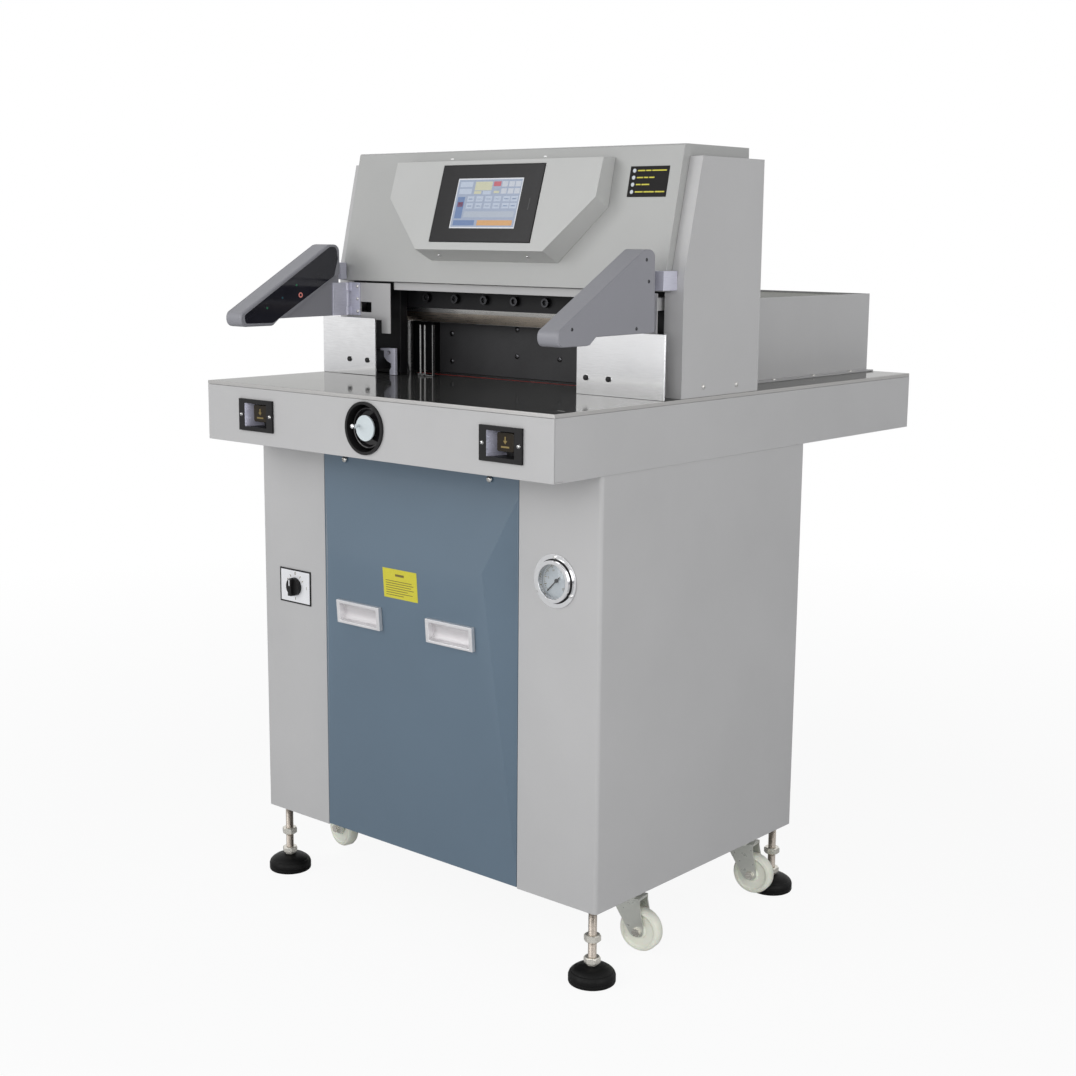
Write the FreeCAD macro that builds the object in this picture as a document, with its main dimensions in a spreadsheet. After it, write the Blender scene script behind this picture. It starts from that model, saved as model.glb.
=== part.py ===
import FreeCAD, Part
import math
import os
import Sketcher

# Free-standing electric paper cutter, about 1.3 m tall.
# Millimetres. +Z is up, +X is the operator's right when facing the machine, +Y points to its back.
# The origin is on the floor under the middle of the machine.

doc = FreeCAD.newDocument("paper_cutter")
sheet = doc.addObject("Spreadsheet::Sheet", "dims")

SIZES = (
    ("table_half", 388, "half the width of the table"),
    ("table_front", -501, "front face of the apron"),
    ("table_back", 525, "back face of the rear skirt"),
    ("table_top_z", 911, "working surface above the floor"),
    ("table_rim", 6, "thickness of the polished top at its rim"),
    ("table_plate", 20, "thickness of the cast table inside the skirt"),
    ("skirt_bottom", 811, "lower edge of the apron and skirts"),
    ("sheet_t", 2, "sheet steel thickness"),
    ("cabinet_half", 386, "half the width of the cabinet and of the upper casing"),
    ("cabinet_front", -387.5, "front face of the cabinet"),
    ("cabinet_back", 167.5, "back face of the cabinet"),
    ("cabinet_bottom", 125, "lower edge of the cabinet sheets"),
    ("cabinet_bend", 7, "outside radius of the cabinet corner bend"),
    ("door_half", 222, "half the width of the door"),
    ("door_gap", 1, "gap between the door and the strips beside it"),
    ("door_crest", 36, "how far the crest of the door stands out"),
    ("door_crest_z", 640, "height of the crest"),
    ("door_crest_half", 177, "half the width of the crest"),
    ("door_slope_top", 760, "where the upper slope of the door starts"),
    ("door_slope_end", 165, "where the main face of the door ends"),
    ("door_depth", 18, "depth of the door's turned edges"),
    ("pull_w", 103, "width of a door pull"),
    ("pull_tall", 40, "height of a door pull"),
    ("pull_x", 105, "door pull centre from the middle"),
    ("pull_z", 531, "door pull height"),
    ("foot_x", 360, "foot centre from the middle"),
    ("foot_front", -362, "front feet"),
    ("foot_rear", 151, "rear feet"),
    ("foot_pad_r", 38, "foot pad radius"),
    ("foot_stem_r", 7, "foot stem radius"),
    ("castor_x", 330, "castor swivel axis from the middle"),
    ("castor_front", -234.7, "front castor swivel axis"),
    ("castor_rear", 94.3, "rear castor swivel axis"),
    ("castor_trail", 27, "wheel axle behind the swivel axis"),
    ("wheel_r", 36, "castor wheel radius"),
    ("wheel_z", 45, "castor axle height"),
    ("wheel_half", 12, "half the castor wheel width"),
    ("axle_r", 4, "castor axle radius"),
    ("stick_half", 255, "half the length of the cutting stick"),
    ("stick_y", -131, "front face of the cutting stick"),
    ("stick_side", 10, "side of the square cutting stick"),
    ("throat_half", 256, "half the distance between the side frames"),
    ("frame_outer", 345, "outer face of a side frame"),
    ("frame_web", 335, "inner face of the web in the guide slot"),
    ("frame_front", -170, "front of a side frame"),
    ("frame_slot_front", -152, "front wall of the guide slot"),
    ("frame_slot_back", -86, "back wall of the guide slot"),
    ("frame_top", 1250, "top of a side frame"),
    ("carrier_front", -150, "front of the knife carrier"),
    ("carrier_bottom", 1030, "lower edge of the knife carrier"),
    ("carrier_top", 1190, "upper edge of the knife carrier"),
    ("blade_front", -135, "front of the blade"),
    ("blade_back", -126, "back of the blade, its flat side"),
    ("blade_edge", 1003.7, "cutting edge height with the knife up"),
    ("blade_bevel", 18.3, "height of the ground bevel"),
    ("blade_left", -280, "left end of the blade with the knife up"),
    ("blade_length", 530, "blade length"),
    ("bolt_first", -205, "first knife bolt"),
    ("bolt_step", 69.6, "knife bolt spacing"),
    ("bolt_z", 1048, "knife bolt height"),
    ("knife_shift", 30, "sideways travel of the knife"),
    ("knife_drop", 92.4, "downward travel of the knife"),
    ("knife_rod_r", 9, "knife piston rod radius"),
    ("knife_rod_x", -316, "knife rod at the carrier's lower edge"),
    ("knife_rod_y", -138, "knife rod plane"),
    ("clamp_front", -125, "front of the clamp beam"),
    ("clamp_back", -90, "back of the clamp beam"),
    ("clamp_bottom", 1004, "underside of the clamp beam, raised"),
    ("clamp_top", 1150, "top of the clamp beam, raised"),
    ("clamp_half", 318, "half the clamp beam's length"),
    ("pull_rod_x", 300, "clamp pull rod from the middle"),
    ("pull_rod_y", -106, "clamp pull rod plane"),
    ("pull_rod_r", 10, "clamp pull rod radius"),
    ("yoke_top", 785, "top of the yoke under the table"),
    ("yoke_bottom", 745, "underside of the yoke"),
    ("clamp_piston_r", 15, "clamp piston rod radius"),
    ("fit_gap", 0.05, "radial running clearance"),
    ("gauge_half", 238, "half the width of the back gauge"),
    ("gauge_front", -87, "face of the back gauge at its foremost place"),
    ("gauge_top", 1002, "top of the back gauge face"),
    ("screw_z", 860, "height of the lead screw and the handwheel"),
    ("screw_r", 8, "lead screw radius"),
    ("hood_half", 361, "half the width of the front hood"),
    ("hood_low_y", -214.4, "hood lower edge"),
    ("hood_low_z", 1076.7, "hood lower edge height"),
    ("hood_high_y", -165.3, "hood upper edge"),
    ("hood_top", 1300, "top of the hood"),
    ("hood_back", 9.4, "back end of the hood's cap"),
    ("hood_cap", 17.7, "depth of the cap's turned edges"),
    ("hood_turn", 30, "depth of the front's turned edges"),
    ("console_half", 229.5, "half the width of the console"),
    ("console_low_half", 143, "half the width of the console's lower edge"),
    ("bezel_w", 226, "touch screen bezel width"),
    ("bezel_tall", 132.5, "touch screen bezel height"),
    ("casing_front", -195, "front of the upper casing below"),
    ("casing_high_y", -152, "front of the upper casing at the top"),
    ("casing_bend_z", 1107.6, "where the casing starts to lean back"),
    ("casing_top", 1281.5, "top of the side casings"),
    ("casing_back", 14.5, "back of the side casings"),
    ("guard_front", -237, "front of the polished guard plates"),
    ("guard_top", 1012.5, "top of the guard plates"),
    ("guard_t", 3, "guard plate thickness"),
    ("throat_cover", -213, "front of the throat cover plates"),
    ("arm_in", 330, "inner face of a light curtain arm"),
    ("arm_out", 370, "outer face of a light curtain arm"),
    ("arm_pin_x", 336, "arm hinge pin from the middle"),
    ("arm_pin_y", -226, "arm hinge pin"),
    ("arm_pin_r", 2.5, "arm hinge pin radius"),
    ("rear_half", 298, "half the width of the rear guard"),
    ("rear_front", 17.3, "front end of the rear guard"),
    ("rear_back", 523, "back face of the rear guard"),
    ("rear_top", 1056, "top of the rear guard"),
    ("lid_pin_y", 24, "lid hinge line"),
    ("lid_pin_z", 1051.5, "lid hinge height"),
    ("button_z", 860, "height of the button housings"),
    ("key_z", 863, "height of the cutting buttons"),
    ("button_left_x", -260, "left button housing centre"),
    ("button_right_x", 288.5, "right button housing centre"),
    ("bezel_ring_r", 42, "handwheel bezel radius"),
    ("dial_x", 298, "pressure gauge centre"),
    ("dial_z", 641, "pressure gauge height"),
    ("dial_flange_r", 42, "pressure gauge flange radius"),
    ("switch_x", -301, "mains switch centre"),
    ("switch_z", 546, "mains switch height"),
)


class Size:
    """A length with its value now and the formula that keeps it bound to the sheet."""

    def __init__(self, value, formula):
        self.value = value
        self.formula = formula

    def __add__(self, other):
        return Size(self.value + value(other), "(%s + %s)" % (self.formula, formula(other)))

    def __radd__(self, other):
        return Size(value(other) + self.value, "(%s + %s)" % (formula(other), self.formula))

    def __sub__(self, other):
        return Size(self.value - value(other), "(%s - %s)" % (self.formula, formula(other)))

    def __rsub__(self, other):
        return Size(value(other) - self.value, "(%s - %s)" % (formula(other), self.formula))

    def __mul__(self, other):
        return Size(self.value * value(other), "(%s * %s)" % (self.formula, formula(other)))

    def __rmul__(self, other):
        return Size(value(other) * self.value, "(%s * %s)" % (formula(other), self.formula))

    def __truediv__(self, other):
        return Size(self.value / value(other), "(%s / %s)" % (self.formula, formula(other)))

    def __neg__(self):
        return Size(-self.value, "(-%s)" % self.formula)


def value(size):
    """The length in millimetres."""
    return size.value if isinstance(size, Size) else float(size)


def formula(size):
    """The text that binds a property to the length."""
    return size.formula if isinstance(size, Size) else "(%.9g)" % size


class Dims:
    """The sheet's lengths by name."""


dim = Dims()
for row, (alias, millimetres, meaning) in enumerate(SIZES, start=1):
    sheet.set("A%d" % row, meaning)
    sheet.set("B%d" % row, "%g" % millimetres)
    sheet.setAlias("B%d" % row, alias)
    setattr(dim, alias, Size(float(millimetres), "dims." + alias))
doc.recompute()

nodes = []
made = {}


def unique(stem):
    """An object name that the document has not used yet."""
    made[stem] = made.get(stem, 0) + 1
    return "%s_%d" % (stem, made[stem])


def node(label, thing):
    """Names a finished sub-part and lists it for the files."""
    thing.Label = label
    nodes.append(thing)
    return thing


def put(thing, x, y, z, turn=None):
    """Places an object, with its position bound and its turn set."""
    if turn is not None:
        thing.Placement = FreeCAD.Placement(FreeCAD.Vector(0, 0, 0), turn)
    thing.setExpression("Placement.Base.x", formula(x))
    thing.setExpression("Placement.Base.y", formula(y))
    thing.setExpression("Placement.Base.z", formula(z))
    return thing


def box(x0, x1, y0, y1, z0, z1):
    """A block between three pairs of planes."""
    thing = doc.addObject("Part::Box", unique("block"))
    thing.setExpression("Length", formula(x1 - x0))
    thing.setExpression("Width", formula(y1 - y0))
    thing.setExpression("Height", formula(z1 - z0))
    return put(thing, x0, y0, z0)


TURNS = {
    "x": FreeCAD.Rotation(FreeCAD.Vector(0, 1, 0), 90),
    "y": FreeCAD.Rotation(FreeCAD.Vector(1, 0, 0), -90),
    "z": FreeCAD.Rotation(),
}


def rod(axis, x, y, z, radius, length):
    """A round bar that starts at a point and runs along +X, +Y or +Z, or along a given turn."""
    thing = doc.addObject("Part::Cylinder", unique("bar"))
    thing.setExpression("Radius", formula(radius))
    thing.setExpression("Height", formula(length))
    return put(thing, x, y, z, TURNS[axis] if isinstance(axis, str) else axis)


def hexagon(axis, x, y, z, across, length):
    """A hexagon nut or head by its width across flats."""
    thing = doc.addObject("Part::Prism", unique("hexagon"))
    thing.Polygon = 6
    thing.setExpression("Circumradius", formula(across / math.sqrt(3)))
    thing.setExpression("Height", formula(length))
    return put(thing, x, y, z, TURNS[axis] if isinstance(axis, str) else axis)


def cut(base, *tools):
    """Takes each tool away from the base in turn."""
    for tool in tools:
        thing = doc.addObject("Part::Cut", unique("cut"))
        thing.Base = base
        thing.Tool = tool
        base = thing
    return base


def fuse(*pieces):
    """One solid from pieces that are cast, welded or bent together."""
    thing = doc.addObject("Part::MultiFuse", unique("fuse"))
    thing.Shapes = list(pieces)
    thing.Refine = True
    return thing


def group(*pieces):
    """Several separate solids under one name."""
    thing = doc.addObject("Part::Compound", unique("group"))
    thing.Links = list(pieces)
    return thing


def origin_plane(body, role):
    for feature in body.Origin.OriginFeatures:
        if feature.Role == role:
            return feature
    raise ValueError(role)


def draw(body, role, points, offset=0, tilt=0, lift=0):
    """A closed outline on one of the body's origin planes, every corner bound to the sheet."""
    sketch = body.newObject("Sketcher::SketchObject", unique("outline"))
    sketch.AttachmentSupport = [(origin_plane(body, role), "")]
    sketch.MapMode = "FlatFace"
    turn = FreeCAD.Rotation(FreeCAD.Vector(1, 0, 0), tilt)
    sketch.AttachmentOffset = FreeCAD.Placement(FreeCAD.Vector(0, value(lift), value(offset)), turn)
    sketch.setExpression("AttachmentOffset.Base.y", formula(lift))
    sketch.setExpression("AttachmentOffset.Base.z", formula(offset))
    count = len(points)
    for i in range(count):
        here = FreeCAD.Vector(value(points[i][0]), value(points[i][1]), 0)
        after = points[(i + 1) % count]
        there = FreeCAD.Vector(value(after[0]), value(after[1]), 0)
        sketch.addGeometry(Part.LineSegment(here, there), False)
    for i in range(count):
        sketch.addConstraint(Sketcher.Constraint("Coincident", i, 2, (i + 1) % count, 1))
    for i in range(count):
        for kind, size in (("DistanceX", points[i][0]), ("DistanceY", points[i][1])):
            number = sketch.addConstraint(Sketcher.Constraint(kind, -1, 1, i, 1, value(size)))
            sketch.setExpression("Constraints[%d]" % number, formula(size))
    return sketch


AXIS_OF = {"YZ_Plane": 0, "XZ_Plane": 1, "XY_Plane": 2}


def along(shape, axis, points):
    """Names of the straight edges that run along an axis through the given corners."""
    names = []
    others = [i for i in range(3) if i != axis]
    for number, edge in enumerate(shape.Edges, start=1):
        if len(edge.Vertexes) != 2:
            continue
        ends = [v.Point for v in edge.Vertexes]
        if any(abs(ends[0][i] - ends[1][i]) > 1e-6 for i in others):
            continue
        for corner in points:
            if all(abs(ends[0][others[k]] - value(corner[k])) < 1e-3 for k in (0, 1)):
                names.append("Edge%d" % number)
    return names


def prism(role, start, length, points, rounds=()):
    """A body padded from a flat outline. The start and the length are measured along +X, +Y or +Z."""
    body = doc.addObject("PartDesign::Body", unique("body"))
    backwards = role == "XZ_Plane"
    sketch = draw(body, role, points, -start if backwards else start)
    pad = body.newObject("PartDesign::Pad", unique("pad"))
    pad.Profile = sketch
    pad.setExpression("Length", formula(length))
    pad.Reversed = backwards
    doc.recompute()
    tip = pad
    for radius, corners in rounds:
        names = along(tip.Shape, AXIS_OF[role], corners)
        if len(names) != len(corners):
            raise ValueError("%d edges for %d corners" % (len(names), len(corners)))
        fillet = body.newObject("PartDesign::Fillet", unique("fillet"))
        fillet.Base = (tip, names)
        fillet.setExpression("Radius", formula(radius))
        doc.recompute()
        tip = fillet
    body.Tip = tip
    return body


def turned(points, x, y, z, turn=None):
    """A body turned about its own Z axis from half an outline of radii and heights."""
    body = doc.addObject("PartDesign::Body", unique("body"))
    sketch = draw(body, "XZ_Plane", points)
    spin = body.newObject("PartDesign::Revolution", unique("spin"))
    spin.Profile = sketch
    spin.ReferenceAxis = (sketch, ["V_Axis"])
    spin.Angle = 360
    body.Tip = spin
    doc.recompute()
    return put(body, x, y, z, turn)


def lofted(first, second, inner_first, inner_second):
    """A shell between two outlines in two leaning planes, hollowed by a second pair of outlines."""
    body = doc.addObject("PartDesign::Body", unique("body"))
    for kind, low, high in (
        ("PartDesign::AdditiveLoft", first, second),
        ("PartDesign::SubtractiveLoft", inner_first, inner_second),
    ):
        low_sketch = draw(body, "XZ_Plane", *low)
        high_sketch = draw(body, "XZ_Plane", *high)
        loft = body.newObject(kind, unique("loft"))
        loft.Profile = low_sketch
        loft.Sections = [high_sketch]
        loft.Ruled = True
        doc.recompute()
        body.Tip = loft
    return body


def facets(corners, faces):
    """A solid from its corners and flat faces."""
    points = [FreeCAD.Vector(*[value(c) for c in corner]) for corner in corners]
    shell = []
    for face in faces:
        loop = [points[i] for i in face]
        shell.append(Part.Face(Part.makePolygon(loop + loop[:1])))
    solid = Part.Solid(Part.Shell(shell))
    solid.fixTolerance(1e-6)
    if solid.Volume < 0:
        solid.reverse()
    thing = doc.addObject("Part::Feature", unique("facets"))
    thing.Shape = solid
    thing.Placement = FreeCAD.Placement()
    return thing


def side(sign, near, far):
    """The X range on the left (sign -1) or on the right (sign 1) between two distances."""
    return (near, far) if sign > 0 else (-far, -near)


# Cabinet base: a steel floor plate with holes for the feet, notched behind the door.
floor_plate = cut(
    box(-dim.cabinet_half + 2.5, dim.cabinet_half - 2.5, dim.cabinet_front + 5.5, dim.cabinet_back - 2.5,
        dim.cabinet_bottom, dim.cabinet_bottom + 6),
    box(-dim.door_half - 4, dim.door_half + 4, dim.cabinet_front, dim.cabinet_front + dim.door_depth + 1.5,
        dim.cabinet_bottom - 1, dim.cabinet_bottom + 7),
    *[
        box(x0, x0 + 14, dim.cabinet_back - 4.8, dim.cabinet_back, dim.cabinet_bottom - 1, dim.cabinet_bottom + 7)
        for x0 in (-dim.cabinet_half, dim.cabinet_half - 14)
    ],
    *[
        rod("z", x, y, dim.cabinet_bottom - 1, dim.foot_stem_r + 0.5, 8)
        for x in (-dim.foot_x, dim.foot_x)
        for y in (dim.foot_front, dim.foot_rear)
    ]
)
node("base_plate", floor_plate)

# Inner frame: four corner angles up to the table, a front rail behind the door and a bridge for the cylinders.
post_bottom = dim.cabinet_bottom + 6
post_height = dim.table_top_z - dim.table_plate - post_bottom
frame_parts = []
for sign in (-1, 1):
    outer = sign * (dim.cabinet_half - 2.5)
    inner = sign * (dim.cabinet_half - 42.5)
    web = sign * (dim.cabinet_half - 6.5)
    for front, thick, end in (
        (dim.cabinet_front + 5.5, dim.cabinet_front + 9.5, dim.cabinet_front + 45.5),
        (dim.cabinet_back - 50, dim.cabinet_back - 46, dim.cabinet_back - 10),
    ):
        corners = ((outer, front), (inner, front), (inner, thick), (web, thick), (web, end), (outer, end))
        frame_parts.append(prism("XY_Plane", post_bottom, post_height, corners))
bridge_z = 375
rail_reach = dim.cabinet_half - 42.5
frame_parts.append(box(-rail_reach, rail_reach, dim.cabinet_front + 19, dim.cabinet_front + 39, 771, 806))
frame_parts.append(box(-rail_reach, rail_reach, dim.cabinet_front + 5.5, dim.cabinet_front + 9.5, 813.5, 842))
bridge = box(-dim.cabinet_half + 6.5, dim.cabinet_half - 6.5, -185, -85, bridge_z, bridge_z + 15)
frame_parts.append(bridge)

# Cabinet sides: each is one bent sheet, the side wall with the rounded front corner and the front strip.
t = dim.sheet_t
shells = {}
for name, sign in (("left", -1), ("right", 1)):
    far = sign * dim.cabinet_half
    near = sign * (dim.door_half + dim.door_gap)
    in_far = sign * (dim.cabinet_half - t)
    in_near = sign * (dim.door_half + dim.door_gap + t)
    front = dim.cabinet_front
    back = dim.cabinet_back - 2.4
    back_lip = sign * (dim.cabinet_half - 13)
    outline = (
        (far, back), (far, front), (near, front), (near, front + 18), (in_near, front + 18),
        (in_near, front + t), (in_far, front + t), (in_far, back - t), (back_lip, back - t), (back_lip, back),
    )
    bends = ((dim.cabinet_bend, ((far, front),)), (dim.cabinet_bend - t, ((in_far, front + t),)))
    shells[name] = prism("XY_Plane", dim.cabinet_bottom, dim.skirt_bottom - dim.cabinet_bottom - 0.3, outline, bends)

node("cabinet_side_left", cut(
    shells["left"],
    rod("y", dim.switch_x, dim.cabinet_front - 1, dim.switch_z, 6, 4),
))
node("cabinet_side_right", cut(
    shells["right"],
    rod("y", dim.dial_x, dim.cabinet_front - 1, dim.dial_z, 31, 4),
))
node("cabinet_frame", group(*frame_parts))

# Rear panel: flat sheet with two groups of louvre slots and the hole of the cable gland.
rear_sheet = box(-dim.cabinet_half + 2, dim.cabinet_half - 2, dim.cabinet_back - 2.1, dim.cabinet_back - 0.1,
                 dim.cabinet_bottom + 2, dim.skirt_bottom - 1)
louvres = []
for column in (-200, 200):
    for step in range(8):
        level = 300 + 26 * step
        louvres.append(box(column - 80.0, column + 80.0, 150.0, 170.0, level - 3.0, level + 3.0))
louvres.append(rod("y", -260, dim.cabinet_back - 4, 190, 11, 6))
node("rear_panel", cut(rear_sheet, group(*louvres)))

# Table: polished top with a rim that covers the skirt, and the cast plate under it.
top = dim.table_top_z
knife_length = math.hypot(value(dim.knife_shift), value(dim.knife_drop))
knife_way = FreeCAD.Vector(value(dim.knife_shift) / knife_length, 0, -value(dim.knife_drop) / knife_length)
knife_turn = FreeCAD.Rotation(FreeCAD.Vector(0, 0, 1), knife_way)


def on_knife_line(z):
    """X of the knife's piston rod at a height."""
    return dim.knife_rod_x + (dim.carrier_bottom - z) * dim.knife_shift / dim.knife_drop


table = fuse(
    box(-dim.table_half, dim.table_half, dim.table_front, dim.table_back, top - dim.table_rim, top),
    box(-dim.table_half + 4, dim.table_half - 4, dim.table_front + 38, dim.table_back - 4,
        top - dim.table_plate, top - dim.table_rim),
)
table_cuts = [
    box(-dim.stick_half - 0.3, dim.stick_half + 0.3, dim.stick_y - 0.3, dim.stick_y + dim.stick_side + 0.3,
        top - dim.stick_side - 0.2, top + 1),
    box(-10.0, 10.0, dim.gauge_front + 15, 505.0, top - dim.table_plate - 1, top + 1),
    rod("z", -dim.pull_rod_x, dim.pull_rod_y, top - dim.table_plate - 1, dim.pull_rod_r + 3, 32),
    rod("z", dim.pull_rod_x, dim.pull_rod_y, top - dim.table_plate - 1, dim.pull_rod_r + 3, 32),
    rod(knife_turn, on_knife_line(960), dim.knife_rod_y, 960, dim.knife_rod_r + 2, 110),
    box(355.0, 369.0, dim.table_front + 43, dim.table_front + 47, top - 3, top + 1),
]
node("table_top", cut(table, *table_cuts))
node("cutting_stick", box(-dim.stick_half, dim.stick_half, dim.stick_y, dim.stick_y + dim.stick_side,
                          top - dim.stick_side, top))

# Apron: front sheet with a turned lower edge, square openings for the buttons and a round one for the handwheel.
rim_low = top - dim.table_rim - 0.3
front = dim.table_front
apron = prism("YZ_Plane", -dim.table_half, 2 * dim.table_half, (
    (front, dim.skirt_bottom), (front + 20, dim.skirt_bottom), (front + 20, dim.skirt_bottom + t),
    (front + t, dim.skirt_bottom + t), (front + t, rim_low), (front, rim_low),
))
apron_cuts = [
    box(x - 30, x + 30, front - 1, front + 3, dim.button_z - 22, dim.button_z + 22)
    for x in (dim.button_left_x, dim.button_right_x)
]
apron_cuts.append(rod("y", 0, front - 1, dim.screw_z, dim.bezel_ring_r - 2, 4))
node("front_apron", cut(apron, *apron_cuts))

# Skirts: the two side sheets and the rear sheet, each with a turned lower edge.
skirts = []
for sign in (-1, 1):
    skirts.append(prism("XZ_Plane", front + t + 0.3, dim.table_back - front - 2 * t - 0.6, (
        (sign * dim.table_half, dim.skirt_bottom), (sign * (dim.table_half - 4), dim.skirt_bottom),
        (sign * (dim.table_half - 4), dim.skirt_bottom + t), (sign * (dim.table_half - t), dim.skirt_bottom + t),
        (sign * (dim.table_half - t), rim_low), (sign * dim.table_half, rim_low),
    )))
# The side sheets' turned edges leave the apron's edge free at the front.
skirts = [cut(s, box(-dim.table_half - 1, dim.table_half + 1, front, front + 20.3, dim.skirt_bottom - 1,
                     dim.skirt_bottom + t + 0.3)) for s in skirts]
skirts.append(prism("YZ_Plane", -dim.table_half + 5, 2 * dim.table_half - 10, (
    (dim.table_back - t - 18, dim.skirt_bottom), (dim.table_back - t, dim.skirt_bottom),
    (dim.table_back - t, dim.skirt_bottom + t), (dim.table_back - t - 18, dim.skirt_bottom + t),
)))
skirts.append(box(-dim.table_half, dim.table_half, dim.table_back - t, dim.table_back, dim.skirt_bottom, rim_low))
node("table_skirts", group(skirts[0], skirts[1], fuse(skirts[2], skirts[3])))

# Door: one sheet folded to a crest, with flat strips above and below and side facets that close the fold.
base = dim.cabinet_front
crest = base - dim.door_crest
narrow = dim.door_half - 2
door_corners = (
    (-narrow, base, dim.door_slope_top), (narrow, base, dim.door_slope_top),
    (-dim.door_crest_half, crest, dim.door_crest_z), (dim.door_crest_half, crest, dim.door_crest_z),
    (-narrow, base, dim.door_slope_end), (narrow, base, dim.door_slope_end),
)
door_faces = ((0, 1, 3, 2), (2, 3, 5, 4), (0, 2, 4), (1, 5, 3), (0, 4, 5, 1))
door_low = dim.cabinet_bottom + 2
door_high = dim.skirt_bottom - 3
door_back = base + dim.door_depth
fold = facets(door_corners, door_faces)
hollow = facets([(x, y + t, z) for x, y, z in door_corners], door_faces)
face_tilt = math.degrees(math.atan2(value(dim.door_crest), value(dim.door_crest_z - dim.door_slope_end)))
face_y = crest + (dim.door_crest_z - dim.pull_z) * dim.door_crest / (dim.door_crest_z - dim.door_slope_end)
lean = FreeCAD.Rotation(FreeCAD.Vector(1, 0, 0), face_tilt)


def on_face(x0, x1, y0, y1, z0, z1, x):
    """A block square to the door's main face, measured from a pull's centre."""
    block = doc.addObject("Part::Box", unique("block"))
    block.setExpression("Length", formula(x1 - x0))
    block.setExpression("Width", formula(y1 - y0))
    block.setExpression("Height", formula(z1 - z0))
    shift = lean.multVec(FreeCAD.Vector(value(x0), value(y0), value(z0)))
    return put(block, x + shift.x, face_y + shift.y, dim.pull_z + shift.z, lean)


door_sheet = cut(
    fuse(box(-dim.door_half, dim.door_half, base, door_back, door_low, door_high), fold),
    fuse(box(-dim.door_half + t, dim.door_half - t, base + t, door_back + 1, door_low + t, door_high - t), hollow),
    *[on_face(-46, 46, -10, 12, -17.5, 17.5, x)
      for x in (-dim.pull_x, dim.pull_x)]
)
door_screws = [rod("y", x, base - 3, 784.5, 5, 3) for x in (-168, 163)]
door_screws += [rod("y", x, base + t, 784.5, 3, 16.5) for x in (-168, 163)]
node("front_door", fuse(door_sheet, *door_screws))

# Door pulls: cast frames let into the main face, each with a shallow rounded finger cup.
pulls = []
for x in (-dim.pull_x, dim.pull_x):
    half = dim.pull_w / 2
    rise = dim.pull_tall / 2
    shell = fuse(
        on_face(-half, half, -8, -0.2, -rise, rise, x),
        on_face(-45.5, 45.5, -1, 9, -17, 17, x),
    )
    cup = prism("YZ_Plane", -44, 88, (
        (-9, -15.5), (-5, -15.5), (0, -13.5), (4, -8), (5.5, 0), (4, 7.5), (0, 12.5), (-5, 14.5), (-9, 14.5),
    ))
    pulls.append(cut(shell, put(cup, x, face_y, dim.pull_z, lean)))
node("door_pulls", group(*pulls))

# Side frames: cast uprights with a deep slot that guides the ends of the knife carrier and the clamp beam.
uprights = []
for sign in (-1, 1):
    near, far, web = sign * dim.throat_half, sign * dim.frame_outer, sign * dim.frame_web
    uprights.append(prism("XY_Plane", top, dim.frame_top - top, (
        (near, dim.frame_front), (far, dim.frame_front), (far, 0), (near, 0), (near, dim.frame_slot_back),
        (web, dim.frame_slot_back), (web, dim.frame_slot_front), (near, dim.frame_slot_front),
    )))
node("side_frames", group(*uprights))
node("crossbeam", box(-dim.throat_half, dim.throat_half, -80, -5, 1130, dim.frame_top))

# Knife: the blade is bolted behind the carrier's lower lip, its flat side facing the clamp.
carrier_left = -330.0
rows = range(7)


def bolt_x(number):
    return dim.bolt_first + dim.bolt_step * number


carrier = prism("YZ_Plane", carrier_left, 630, (
    (dim.carrier_front, dim.carrier_bottom), (dim.blade_front, dim.carrier_bottom),
    (dim.blade_front, dim.carrier_bottom + 83), (dim.blade_back, dim.carrier_bottom + 83),
    (dim.blade_back, dim.carrier_top), (dim.carrier_front, dim.carrier_top),
))
node("knife_carrier", cut(carrier, group(*[
    rod("y", bolt_x(i), dim.carrier_front - 1, dim.bolt_z, 5.2, 30) for i in rows
])))
blade = prism("YZ_Plane", dim.blade_left, dim.blade_length, (
    (dim.blade_front, dim.blade_edge + dim.blade_bevel), (dim.blade_back, dim.blade_edge),
    (dim.blade_back, dim.carrier_bottom + 82.7), (dim.blade_front, dim.carrier_bottom + 82.7),
))
node("knife_blade", cut(blade, group(*[
    rod("y", bolt_x(i), dim.carrier_front - 1, dim.bolt_z, 5.2, 30) for i in rows
])))
node("knife_bolts", group(*[
    cut(
        fuse(rod("y", bolt_x(i), dim.carrier_front - 8, dim.bolt_z, 8, 8),
             rod("y", bolt_x(i), dim.carrier_front - 2, dim.bolt_z, 5, 24)),
        hexagon("y", bolt_x(i), dim.carrier_front - 9, dim.bolt_z, 8, 5),
    )
    for i in rows
]))
node("knife_rod", cut(
    rod(knife_turn, on_knife_line(1050), dim.knife_rod_y, 1050, dim.knife_rod_r, 520),
    box(-400.0, -200.0, -170.0, -100.0, dim.carrier_bottom, dim.carrier_bottom + 60),
))

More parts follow.
